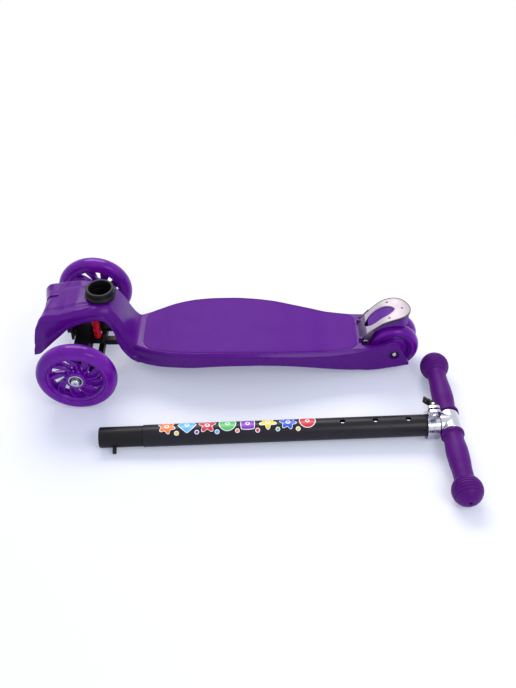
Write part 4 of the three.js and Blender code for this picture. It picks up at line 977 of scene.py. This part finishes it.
def rear_axle():
    """The axle through both wings: at its near end a small bright head on a black cup washer."""
    low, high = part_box("rear_axle_bolt")
    near, far = [(end.y - SCOOTER.translation.y) / MM for end in (low, high)]
    cup = near + 1.3
    profile = [(0, cup), (6.1, cup), (6.1, cup + 0.9), (3.9, cup + 1), (3.9, far), (0, far)]
    shaft = lathe(profile, "y", REAR_AXLE, radii=[0, 0.3, 0.3, 0.2, 0.4, 0])
    dress(shaft, "rear_axle_shaft", "gap", "deck", "rear_axle_bolt")
    profile = [(0, near), (2.6, near), (3.3, near + 0.7), (3.3, near + 1.25), (0, near + 1.25)]
    head = lathe(profile, "y", REAR_AXLE + Vector((0, 0, 0.9)), SMALL, [0, 0.8, 0.3, 0, 0])
    dress(head, "rear_axle_head", "bright", "deck")


# Foot brake

BRAKE_SIDE_SHARES = [
    (-0.14, -0.06), (-0.1, 0.02), (0, 0.25), (0.18, 0.57), (0.35, 0.8), (0.49, 0.9), (0.62, 0.95),
    (0.78, 0.97), (0.93, 0.94),
]
BRAKE_PLAN_SHARES = [
    (-0.12, 0.9), (0, 0.855), (0.18, 0.94), (0.36, 1), (0.49, 0.99), (0.62, 0.95), (0.76, 0.79),
    (0.85, 0.53), (0.905, 0.26), (0.925, 0),
]
BRAKE_HOLE_SHARES = [
    (-0.02, 0), (0.03, 0.25), (0.1, 0.46), (0.2, 0.52), (0.32, 0.5), (0.455, 0.4), (0.55, 0.22), (0.6, 0),
]


def brake_point(along, aside):
    """A place on the brake, from shares of its length and half width."""
    return Vector((BRAKE["x"] + along * BRAKE["length"], aside * BRAKE["half_width"]))


brake_height = smooth_curve(
    [BRAKE["x"] + a * BRAKE["length"] for a, _ in BRAKE_SIDE_SHARES],
    [BRAKE["z"] + b * BRAKE["rise"] for _, b in BRAKE_SIDE_SHARES],
)
BRAKE_MIDDLE = brake_point(0.34, 0)


def closed_outline(shares, count):
    """A smooth closed outline through mirrored share points, in even steps round its middle."""
    half = [brake_point(a, b) for a, b in shares]
    ring = [*half, *[Vector((p.x, -p.y)) for p in reversed(half) if abs(p.y) > 0.01]]
    fine = rounded(ring, 9, 6, closed=True)
    lengths = [0]
    for i, p in enumerate(fine):
        lengths.append(lengths[-1] + (fine[(i + 1) % len(fine)] - p).length)
    made, k = [], 0
    for i in range(count):
        want = lengths[-1] * i / count
        while lengths[k + 1] < want:
            k += 1
        t = (want - lengths[k]) / max(lengths[k + 1] - lengths[k], 0.0001)
        made.append(fine[k].lerp(fine[(k + 1) % len(fine)], t))
    return made


def by_angle(outline, middle, count):
    """The outline's points at even angles round a middle."""
    polar = sorted(
        (math.atan2(p.y - middle.y, p.x - middle.x) % math.tau, p.x, p.y) for p in outline)
    made = []
    for i in range(count):
        want = i / count * math.tau
        after = next((k for k, row in enumerate(polar) if row[0] >= want), 0)
        a, b = polar[after - 1], polar[after]
        span = (b[0] - a[0]) % math.tau
        t = ((want - a[0]) % math.tau) / span if span else 0
        made.append(Vector((a[1] + (b[1] - a[1]) * t, a[2] + (b[2] - a[2]) * t)))
    return made


def brake_ring(shares):
    """The outline through the share points, at even angles round the middle of the brake's hole."""
    return by_angle(closed_outline(shares, 400), BRAKE_MIDDLE, 140)


def brake_loop():
    """The stamped sheet: a ring between outline and hole, its rims turned down."""
    sheet, rim, lip = BRAKE["sheet"], BRAKE["rim"], 3
    section = rounded([
        (0, -lip, 0), (0, 0, 0), (1, 0, 0), (1, -rim, 0), (1, -rim, -sheet), (1, -sheet, -sheet),
        (0, -sheet, sheet), (0, -lip, sheet),
    ], [0.3, 1.6, 2.2, 0.3, 0.3, 0.6, 0.6, 0.3], 3, closed=True)
    loops = []
    for outer, inner in zip(brake_ring(BRAKE_PLAN_SHARES), brake_ring(BRAKE_HOLE_SHARES)):
        out = (outer - inner).normalized()
        loop = []
        for share, drop, shift in section:
            spot = inner + (outer - inner) * share + out * shift
            loop.append((spot.x, spot.y, brake_height(spot.x) + drop))
        loops.append(loop)
    return lofted(loops, wrap=True)


def brake_ears():
    """The two ears that hang the sheet on its pin."""
    outline = rounded(
        [(428, 59), (429, 54.5), (437, 54.5), (445, 79), (440, 81), (432, 70)], [2, 4, 5, 2, 2, 3], 4,
        closed=True)
    return joined([bevelled(slab(outline, hand * 23.7, hand * 25.4, "y"), 0.4) for _, hand in HANDS])


def brake_rivets():
    """The rivets that hold the pad, seated on the sheet."""
    profile = [(0, -0.6), (2.1, -0.6), (2.1, 0.1), (1.5, 0.45), (0.5, 0.2), (0, 0.2)]
    made = []
    for along, aside in ((0.74, 0), (0.455, -0.69), (0.455, 0.69)):
        spot = brake_point(along, aside)
        slope = math.atan2(brake_height(spot.x + 1) - brake_height(spot.x - 1), 2)
        dome = lathe(profile, count=SMALL, radii=[0, 0, 0.2, 0.3, 0.2, 0])
        made.append(moved(dome, (*spot, brake_height(spot.x)), -slope, "Y"))
    return joined(made)


def brake_edge():
    """A near-black strip round the sheet's outline, over its turned-down rim: painted shade of the rim."""
    loops = []
    for spot in brake_ring(BRAKE_PLAN_SHARES):
        out = (spot - BRAKE_MIDDLE).normalized()
        loops.append([
            (*(spot + out * shift), brake_height(spot.x) + drop)
            for shift, drop in ((-0.7, -1), (-0.7, 0.12), (0.4, 0.12), (0.4, -4), (-0.7, -4))
        ])
    return lofted(loops, wrap=True)


def brake_pad():
    """The moulded pad under the sheet, down to an arc that clears the wheels, with its rows of nubs."""
    start, end, clear, half, steps, inset = 0.07, 0.88, 5, 20, 44, 2.6
    reach = REAR["radius"] + clear
    plan = closed_outline(BRAKE_PLAN_SHARES, 300)
    loops = []
    for i in range(steps + 1):
        x = BRAKE["x"] + (start + (end - start) * i / steps) * BRAKE["length"]
        wide = max((abs(p.y) for p in plan if abs(p.x - x) < 1.2), default=10)
        y = min(half, wide - inset)
        top = brake_height(x) - BRAKE["sheet"] - 0.7
        low = min(REAR_AXLE.z + math.sqrt(max(reach ** 2 - (x - REAR_AXLE.x) ** 2, 0)), top - 2)
        outline = rounded([(-y, low), (-y, top), (y, top), (y, low)], [1, 3, 3, 1], 3, closed=True)
        loops.append([Vector((x, a, b)) for a, b in outline])
    pieces = [lofted(loops)]
    nub = [(0, -1), (0.75, -1), (0.5, 0.3), (0, 0.4)]
    for i in range(15):
        for j in range(-5, 6):
            x = BRAKE["x"] + 7 + i * 2.5
            place = (x, j * 2.6 + (1.3 if i % 2 else 0), brake_height(x) - BRAKE["sheet"] - 0.6)
            pieces.append(lathe(nub, "z", place, 8, [0, 0, 0.2, 0], 2))
    return joined(pieces)


def coil(radius, wire, low, high, turns, axis="y"):
    """A round wire wound along y or z."""
    steps = turns * 18
    path = []
    for i in range(steps + 1):
        angle = i / steps * turns * math.tau
        along = low + (high - low) * i / steps
        c, s = radius * math.cos(angle), radius * math.sin(angle)
        path.append(Vector((c, along, s)) if axis == "y" else Vector((c, s, along)))
    return swept(path, wire)


def foot_brake():
    """The sheet with its flange in darker steel as painted shade, ears, rivets, a near-black edge strip as
    painted shade and the pad, and the coil on the pin.
    """
    plate = brake_loop()
    flange_x = BRAKE["x"] + 0.02 * BRAKE["length"]
    edited(plate, lambda work: bmesh.ops.bisect_plane(
        work, geom=[*work.verts, *work.edges, *work.faces], plane_co=(flange_x, 0, 0), plane_no=(1, 0, 0)))
    dress(plate, "brake_sheet", "satin", "brake", "brake_plate")
    # The flange's faces take the darker steel: painted shade of the sheet's steep front face.
    plate.data.materials.append(LOOKS["steel_in_painted_shade"])
    flange_end = (SCOOTER @ Vector((flange_x, 0, 0))).x
    for face in plate.data.polygons:
        face.material_index = int(face.center.x < flange_end)
    # Ears and rivets in the darker steel: painted shade.
    dress(brake_ears(), "brake_hinge_ears", "steel_in_painted_shade", "brake")
    dress(brake_rivets(), "brake_rivets", "steel_in_painted_shade", "brake")
    dress(brake_edge(), "brake_sheet_edge", "edge_painted_shade", "brake")
    dress(brake_pad(), "brake_shoe", "pad", "brake", "brake_pad")
    hinge = Vector((BRAKE["x"], 0, BRAKE["z"]))
    wind = moved(coil(3.7, 0.75, -9.2, 9.2, 7), hinge)
    dress(wind, "brake_coil", "steel", "deck", "brake_spring")
    end, head, thin, thick = 27.3, 1.5, 2.5, 4
    half = [(0, end), (thick, end), (thick, end - head), (thin, end - head)]
    radii = [0, 0.6, 0.2, 0]
    pin = lathe(mirrored_profile(half, 1), "y", hinge, SMALL, [*radii, *reversed(radii)])
    dress(pin, "brake_hinge_pin", "bright", "deck", "brake_pin")


# Handlebar column

def outer_tube():
    """The tube with the three holes of the height button and the slit under the clamp."""
    radius, inside = BAR["radius"], BAR["radius"] - BAR["wall"]
    start, end = BAR["sleeve"] + 0.3, BAR["end"]
    profile = [(inside, start), (radius, start), (radius, end), (inside, end)]
    tube = lathe(profile, "x", count=FINE, radii=[0.2, 0.6, 0.5, 0.2])
    cutters = [
        rod(BAR["hole"], 5, 30, "z", (BAR["top_hole"] - i * BAR["pitch"], 0, 0)) for i in range(3)
    ]
    slit = CLAMP["slot"] / 2
    cutters.append(block((CLAMP["start"] - 1, end + 3), (-slit, slit), (0, 30)))
    dress(combined(tube, cutters), "column_tube", "tube", "column", "outer_tube")


def lower_sleeve():
    """The sleeve at the column's lower end, the lock button through its side and the button's coil."""
    radius, bore, length, spigot_length = BAR["sleeve_radius"], BAR["bore"], BAR["sleeve"], 24
    spigot, end = BAR["radius"] - BAR["wall"] - 0.3, length + spigot_length
    profile = [(bore, 0), (radius, 0), (radius, length), (spigot, length), (spigot, end), (bore, end)]
    sleeve = lathe(profile, "x", count=FINE, radii=[0.6, 1.6, 0.6, 0, 0.6, 0.3])
    place = (22, 0, 0)
    hole = moved(rod(3.3, 0, 20, "z", count=SMALL), place, LOCK_TURN, "X")
    dress(combined(sleeve, [hole]), "column_sleeve", "black", "column", "lower_sleeve")
    base, base_top, wide, stem, tip = bore - 3.6, bore - 2, 4.6, 3, radius + 10
    profile = [(0, base), (wide, base), (wide, base_top), (stem, base_top), (stem, tip), (0, tip)]
    button = lathe(profile, radii=[0, 0.3, 0.3, 0, 1.5, 0], steps=5)
    dress(moved(button, place, LOCK_TURN, "X"), "lock_button_cap", "black", "lock", "lock_button")
    coil_start = 1.6 - bore
    wind = moved(coil(3.1, 0.45, coil_start + 0.5, base_top - 2.4, 8, "z"), place, LOCK_TURN, "X")
    dress(wind, "lock_coil", "steel", "column", "lock_spring")
    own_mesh(wind)


def clamp():
    """The clamp on the tube's end: a slit band with two ears, a cross hole and a groove."""
    start, end = CLAMP["start"], CLAMP["start"] + CLAMP["length"]
    inner, outer = BAR["radius"] + 0.3, CLAMP["outer"]
    slot, top = CLAMP["slot"] / 2, CLAMP["outer"] + CLAMP["ear"]
    ear = slot + CLAMP["ear_wall"]
    band = lathe([(inner, start), (outer, start), (outer, end), (inner, end)], "x", count=FINE)
    outline = rounded([
        (start, inner + 1), (start, top), (end, top), (end, inner + 1),
    ], [0, 5, 5, 0], 6, closed=True)
    combined(band, [slab(outline, -ear, ear, "y")], "UNION")
    gap = block((start - 3, end + 3), (-slot, slot), (0, top + 3))
    hole = rod(2.8, -20, 20, "y", (CLAMP["bolt_x"], 0, CLAMP["bolt_z"]), SMALL)
    low, high, first, last = outer - 0.6, outer + 3, start + 8, start + 9.4
    groove = lathe([(low, first), (high, first), (high, last), (low, last)], "x", count=FINE)
    combined(band, [gap, hole, groove])
    dress(bevelled(band, 0.7, 50, 2), "column_clamp", "bright", "column", "clamp_collar")


def clamp_lever():
    """The cam lever, drawn closed and then turned to its rest angle round the cam's pin."""
    x, y, z = CLAMP["bolt_x"], CLAMP["cam_y"], CLAMP["bolt_z"]
    cam, half = CLAMP["cam"], CLAMP["width"] / 2
    tip = x - CLAMP["lever"]
    head = rod(cam, z - half, z + half, "z", (x, y, 0))
    outline = rounded([
        (x + 1, y + cam - 0.1), (x - 1, y + 0.8), (tip + 5, y - 1.2), (tip, y - 1), (tip, y + 1.6),
        (tip + 5, y + 2.4),
    ], [0, 3, 2, 1.2, 1.2, 3], 5, closed=True)
    combined(head, [slab(outline, z - half, z + half)], "UNION")
    slot_reach, slot_half, pin_radius, eye_radius, eye_x = 6.2, 3.1, 2.3, 2.4, tip + 4.4
    slot = block((x - slot_reach, x + slot_reach), (0, y + 7), (z - slot_half, z + slot_half))
    pin = rod(pin_radius, 0, 60, "z", (x, y, 0), SMALL)
    eye = rod(eye_radius, 0, 30, "y", (eye_x, 0, z), SMALL)
    combined(head, [slot, pin, eye])
    bevelled(head, 0.6, 50, 2)
    hinge = Matrix.Translation((x, y, 0))
    turn = Matrix.Rotation(math.radians(-CLAMP["rest_degrees"]), 4, "Z")
    head.data.transform(hinge @ turn @ hinge.inverted())
    dress(head, "cam_lever", "black", "lever", "clamp_lever")


def tee_joint():
    """The cast T-piece: its neck and arm melted into each other, then bored."""
    start, x, neck_radius, neck_bore = BAR["end"] + 2.6, BAR["handle_x"], 16, 13
    arm_radius, arm_half, bore_end = 15.5, 17, x - 11.7
    neck = rod(neck_radius, start, x, "x", count=FINE, edge=0.8)
    arm = rod(arm_radius, -arm_half, arm_half, "y", (x, 0, 0), FINE, 1.2)
    melted(combined(neck, [arm], "UNION"), 0.6, 14)
    combined(neck, [
        rod(neck_bore, 0, bore_end, "x", count=FINE),
        rod(GRIP["bore"], -40, 40, "y", (x, 0, 0), FINE),
    ])
    dress(neck, "tee_casting", "bright", "handlebar", "tee_joint", 40)


GRIP_SHARES = [(0, 1), (0.045, 1), (0.075, 0.86), (0.13, 0.84), (0.4, 0.93), (0.62, 0.9), (0.8, 0.83)]


def grip_profile():
    """Along the handle: flange, body, neck, then the ball with its rings and smooth cap."""
    start, ball, size = GRIP["start"], GRIP["ball"], GRIP["ball_radius"]
    neck_end = ball - math.sqrt(size ** 2 - GRIP["neck"] ** 2)
    shape = smooth_curve(
        [start + (neck_end - start) * a for a, _ in GRIP_SHARES] + [neck_end],
        [GRIP["flange"] * b for _, b in GRIP_SHARES] + [GRIP["neck"]],
    )
    points = [(shape(start), start)]
    ring_depth, ring_pitch, margin, spacing = 0.35, 3.2, 0.5, 0.42
    y = start + margin
    while y < neck_end - margin:
        ringed = ramp(y, neck_end - 16, neck_end - 12) * ramp(y, neck_end - 1, neck_end - 3)
        wave = (1 - math.cos(y / ring_pitch * math.tau)) / 2
        points.append((shape(y) - ring_depth * ringed * wave, y))
        y += spacing
    steps = 120
    first = math.pi - math.asin(GRIP["neck"] / size)
    last = math.asin(GRIP["hole"] / size)
    pitch, depth, width, ring_start, ring_end = 4.3, 1.15, 0.9, -11, 13.5
    for i in range(steps + 1):
        angle = first + (last - first) * i / steps
        along, radius = size * math.cos(angle), size * math.sin(angle)
        if ring_start < along < ring_end:
            off = abs((along - ring_start + pitch / 2) % pitch - pitch / 2)
            radius -= depth * ramp(off, width, width * 0.25)
        points.append((radius, ball + along))
    return points


def grip(name, hand):
    """A rubber grip from the T-piece out, with a small hole in the end of its ball."""
    hole_end = 126.3
    profile = [
        (GRIP["bore"], GRIP["start"]), *grip_profile(), (GRIP["hole"], hole_end), (GRIP["bore"], hole_end),
    ]
    made = lathe(profile, "y", (BAR["handle_x"], 0, 0), FINE, hand=hand)
    dress(made, f"grip_rubber_{name}", "grip", "handlebar", f"grip_{name}", sharp_degrees=50)


# Generic coloured motifs on the column

INKS = {
    "blue": (0.02, 0.09, 0.55), "purple": (0.22, 0.03, 0.42), "sky": (0.12, 0.42, 0.75),
    "green": (0.1, 0.5, 0.12), "yellow": (0.85, 0.62, 0.04), "orange": (0.85, 0.2, 0.02),
    "red": (0.6, 0.02, 0.03), "white": (0.85, 0.85, 0.88),
}
# How far a motif reaches at an angle, as a share of its size
FORMS = {
    "disc": lambda angle: 1,
    "star": lambda angle: 0.78 + 0.24 * math.cos(5 * angle),
    "petals": lambda angle: 0.82 + 0.18 * math.cos(6 * angle),
    "tile": lambda angle: 0.86 / max(abs(math.cos(angle)), abs(math.sin(angle))) ** 0.8,
}
# Each motif: along the column, degrees round it, size in millimetres, turn, form and ink
MOTIFS = [
    (98, 82, 12, 20, "petals", "orange"), (127, 76, 11.4, 45, "tile", "sky"),
    (156, 83, 12, 54, "star", "red"), (185, 77, 11.6, 0, "disc", "green"),
    (214, 82, 11, 0, "tile", "purple"), (243, 76, 12, 18, "star", "yellow"),
    (272, 82, 11.6, 10, "petals", "blue"), (300, 78, 11, 0, "disc", "red"),
]
# One ink for each dot between two motifs
DOT_INKS = ("yellow", "purple", "sky", "orange", "red", "green", "yellow")


def motif_patch(spot, form, size, lift, spread=0):
    """A thin patch that wraps round the column; its spot is along, degrees round it and turn."""
    along, degrees, turn = spot
    rings, sides, thick = 6, 60, 0.12
    verts = []
    for out in (BAR["radius"] + lift, BAR["radius"] + lift - thick):
        for i in range(rings + 1):
            for k in range(sides):
                angle = k / sides * math.tau
                reach = (FORMS[form](angle) * size + spread) * i / rings
                turned = angle + math.radians(turn)
                around = math.radians(degrees) + reach * math.sin(turned) / BAR["radius"]
                x = along + reach * math.cos(turned)
                verts.append((x, out * math.cos(around), out * math.sin(around)))
    below, rim = (rings + 1) * sides, range(rings * sides, (rings + 1) * sides)
    faces = doubled(grid_faces(rings + 1, sides, wrap_columns=True), below)
    return raw_object(verts, [*faces, *closing_faces(rim, below, closed=True)], merge=0.0005)


def motifs():
    """Large motifs, each with a white rim and a ringed middle, and a small dot between each two."""
    prints = {ink: [] for ink in INKS}
    dots = [
        (112 + 29 * i, 124 - 2 * (i % 2), 2.4 - 0.2 * (i % 2), 0, "disc", ink)
        for i, ink in enumerate(DOT_INKS)
    ]
    for along, degrees, size, turn, form, ink in [*MOTIFS, *dots]:
        spot = (along, degrees, turn)
        prints["white"].append(motif_patch(spot, form, size, 0.1, 1.1))
        prints[ink].append(motif_patch(spot, form, size, 0.18))
        if size > 5:
            prints["white"].append(motif_patch(spot, "disc", size * 0.3, 0.26))
            prints[ink].append(motif_patch(spot, "disc", size * 0.16, 0.34))
    for ink, patches in prints.items():
        look = f"ink_{ink}"
        second = tuple(min(c * 1.15, 1) for c in INKS[ink])
        LOOKS[look] = finish_look(look, INKS[ink], second, 0.35, (1800, 0.00002))
        dress(joined(patches), f"column_print_{ink}", look, "column")


# Buffers, and the solids that show through

def buffers():
    """Rubber springs between axle and deck."""
    x, aside, foot, head = 22, 24.5, 68.3, 105.7
    profile = [
        (0, foot), (5.4, foot), (6, 72), (6, 84), (4.9, 86), (4.9, 88), (6, 90), (6, 102), (5.4, head),
        (0, head),
    ]
    for name, hand in HANDS:
        made = lathe(profile, "z", (x, hand * aside, 0), radii=[0, 0.8, 2, 1, 0.8, 0.8, 1, 2, 0.8, 0])
        dress(made, f"buffer_rubber_{name}", "red", None, f"buffer_{name}")
        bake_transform(made)


CAD_LOOKS = {
    "inner_tube": "bright", "rear_axle_nut": "steel_in_painted_shade",
    **dict.fromkeys((
        "axle_beam", "pivot_bracket", "knuckle_left", "knuckle_right", "guide_bush", "top_bush",
        "tie_rod", "kingpin_left", "kingpin_right", "lean_pin", "bracket_screw_left",
        "bracket_screw_right",
    ), "black"),
}


def finish_cad_nodes():
    """Gives the solids that show through a finish; the others are stood for by the pieces."""
    for name, node in frame["nodes"].items():
        node.data.materials.clear()
        node.data.materials.append(LOOKS[CAD_LOOKS.get(name, "steel")])


# Floor, light and camera

WHITE = (1, 1, 1, 1)
FLOOR_COLOUR = (0.97, 0.965, 0.97)
# Tint of the floor's glow near the scooter: painted bluish shade on the floor.
FLOOR_SHADE = (0.74, 0.79, 1, 1)
FLOOR_GLOW = 0.28


def floor():
    """A pale floor that keeps the shadows; far from the scooter the camera sees it turn white, and near it
    a bluish glow is mixed in as painted bluish shade.
    """
    size = 6
    mesh = bpy.data.meshes.new("floor")
    corners = [(-size, -size, 0), (size, -size, 0), (size, size, 0), (-size, size, 0)]
    mesh.from_pydata(corners, [], [range(4)])
    look = cleared(bpy.data.materials.new("floor_pale"))
    shader = add(look, "ShaderNodeBsdfPrincipled", {
        "Base Color": (*FLOOR_COLOUR, 1), "Roughness": 0.7, "Specular IOR Level": 0.2,
    })
    place = add(look, "ShaderNodeTexCoord")
    away = add(look, "ShaderNodeVectorMath", {0: place.outputs["Object"]}, operation="LENGTH")
    shown = ranged(look, away.outputs["Value"], FLOOR_GLOW, 1, 0.35, 1.1)
    pale = ranged(look, away.outputs["Value"], 0, 1, 0.25, 0.65)
    tint = add(look, "ShaderNodeMix", {"Factor": pale, 6: FLOOR_SHADE, 7: WHITE}, data_type="RGBA")
    glow = add(look, "ShaderNodeEmission", {"Color": tint.outputs[2], "Strength": 1})
    seen = add(look, "ShaderNodeLightPath")
    share = add(look, "ShaderNodeMath", {0: shown, 1: seen.outputs["Is Camera Ray"]}, operation="MULTIPLY")
    mix = add(look, "ShaderNodeMixShader", {
        "Fac": share.outputs[0], 1: shader.outputs["BSDF"], 2: glow.outputs["Emission"],
    })
    add(look, "ShaderNodeOutputMaterial", {"Surface": mix.outputs[0]})
    mesh.materials.append(look)
    ground = placed("floor", mesh)


def world():
    """Soft bluish light from all round, and white where the camera, metal or glass looks."""
    sky = cleared(bpy.data.worlds.new("studio"))
    bpy.context.scene.world = sky
    soft = add(sky, "ShaderNodeBackground", {"Color": (0.72, 0.79, 1, 1), "Strength": 0.78})
    white = add(sky, "ShaderNodeBackground", {"Color": WHITE, "Strength": 1})
    path = add(sky, "ShaderNodeLightPath").outputs
    seen = path["Is Camera Ray"]
    for ray in ("Is Glossy Ray", "Is Transmission Ray"):
        seen = add(sky, "ShaderNodeMath", {0: seen, 1: path[ray]}, operation="MAXIMUM").outputs[0]
    mix = add(sky, "ShaderNodeMixShader", {"Fac": seen, 1: soft.outputs[0], 2: white.outputs[0]})
    add(sky, "ShaderNodeOutputWorld", {"Surface": mix.outputs[0]})


def soft_box(name, place, target, size, power, colour):
    """A rectangular light that the camera doesn't see."""
    data = bpy.data.lights.new(name, "AREA")
    data.color = colour
    data.shape = "RECTANGLE"
    data.size, data.size_y = size
    data.energy = power
    lamp = placed(name, data)
    lamp.location = place
    lamp.rotation_euler = (Vector(target) - Vector(place)).to_track_quat("-Z", "Y").to_euler()
    lamp.visible_camera = False


def camera():
    """The camera of the photograph."""
    data = bpy.data.cameras.new("camera")
    data.lens, data.sensor_width, data.sensor_fit = CAMERA_LENS, CAMERA_SENSOR, "AUTO"
    made = placed("camera", data)
    made.location = CAMERA_PLACE
    made.rotation_euler = (math.radians(CAMERA_PITCH_DEGREES), 0, 0)
    bpy.context.scene.camera = made


camera()
finish_cad_nodes()
scooter_shell()
deck_panel()
socket_tube()
socket_collar()
for wheel_name, wheel_hand in HANDS:
    front_wheel(wheel_name, wheel_hand)
    rear_wheel(wheel_name, wheel_hand)
    grip(wheel_name, wheel_hand)
rear_axle()
foot_brake()
outer_tube()
lower_sleeve()
clamp()
clamp_lever()
tee_joint()
motifs()
buffers()
floor()
world()
soft_box("key", (-0.3, 1.7, 1.95), target=(0, 0, 0), size=(2, 1), power=44, colour=(1, 0.94, 0.86))
soft_box("fill", (0.8, -0.95, 1.3), target=(0, 0, 0.05), size=(0.8, 0.6), power=8, colour=(1, 1, 1))
bpy.context.scene.view_settings.view_transform = "Standard"
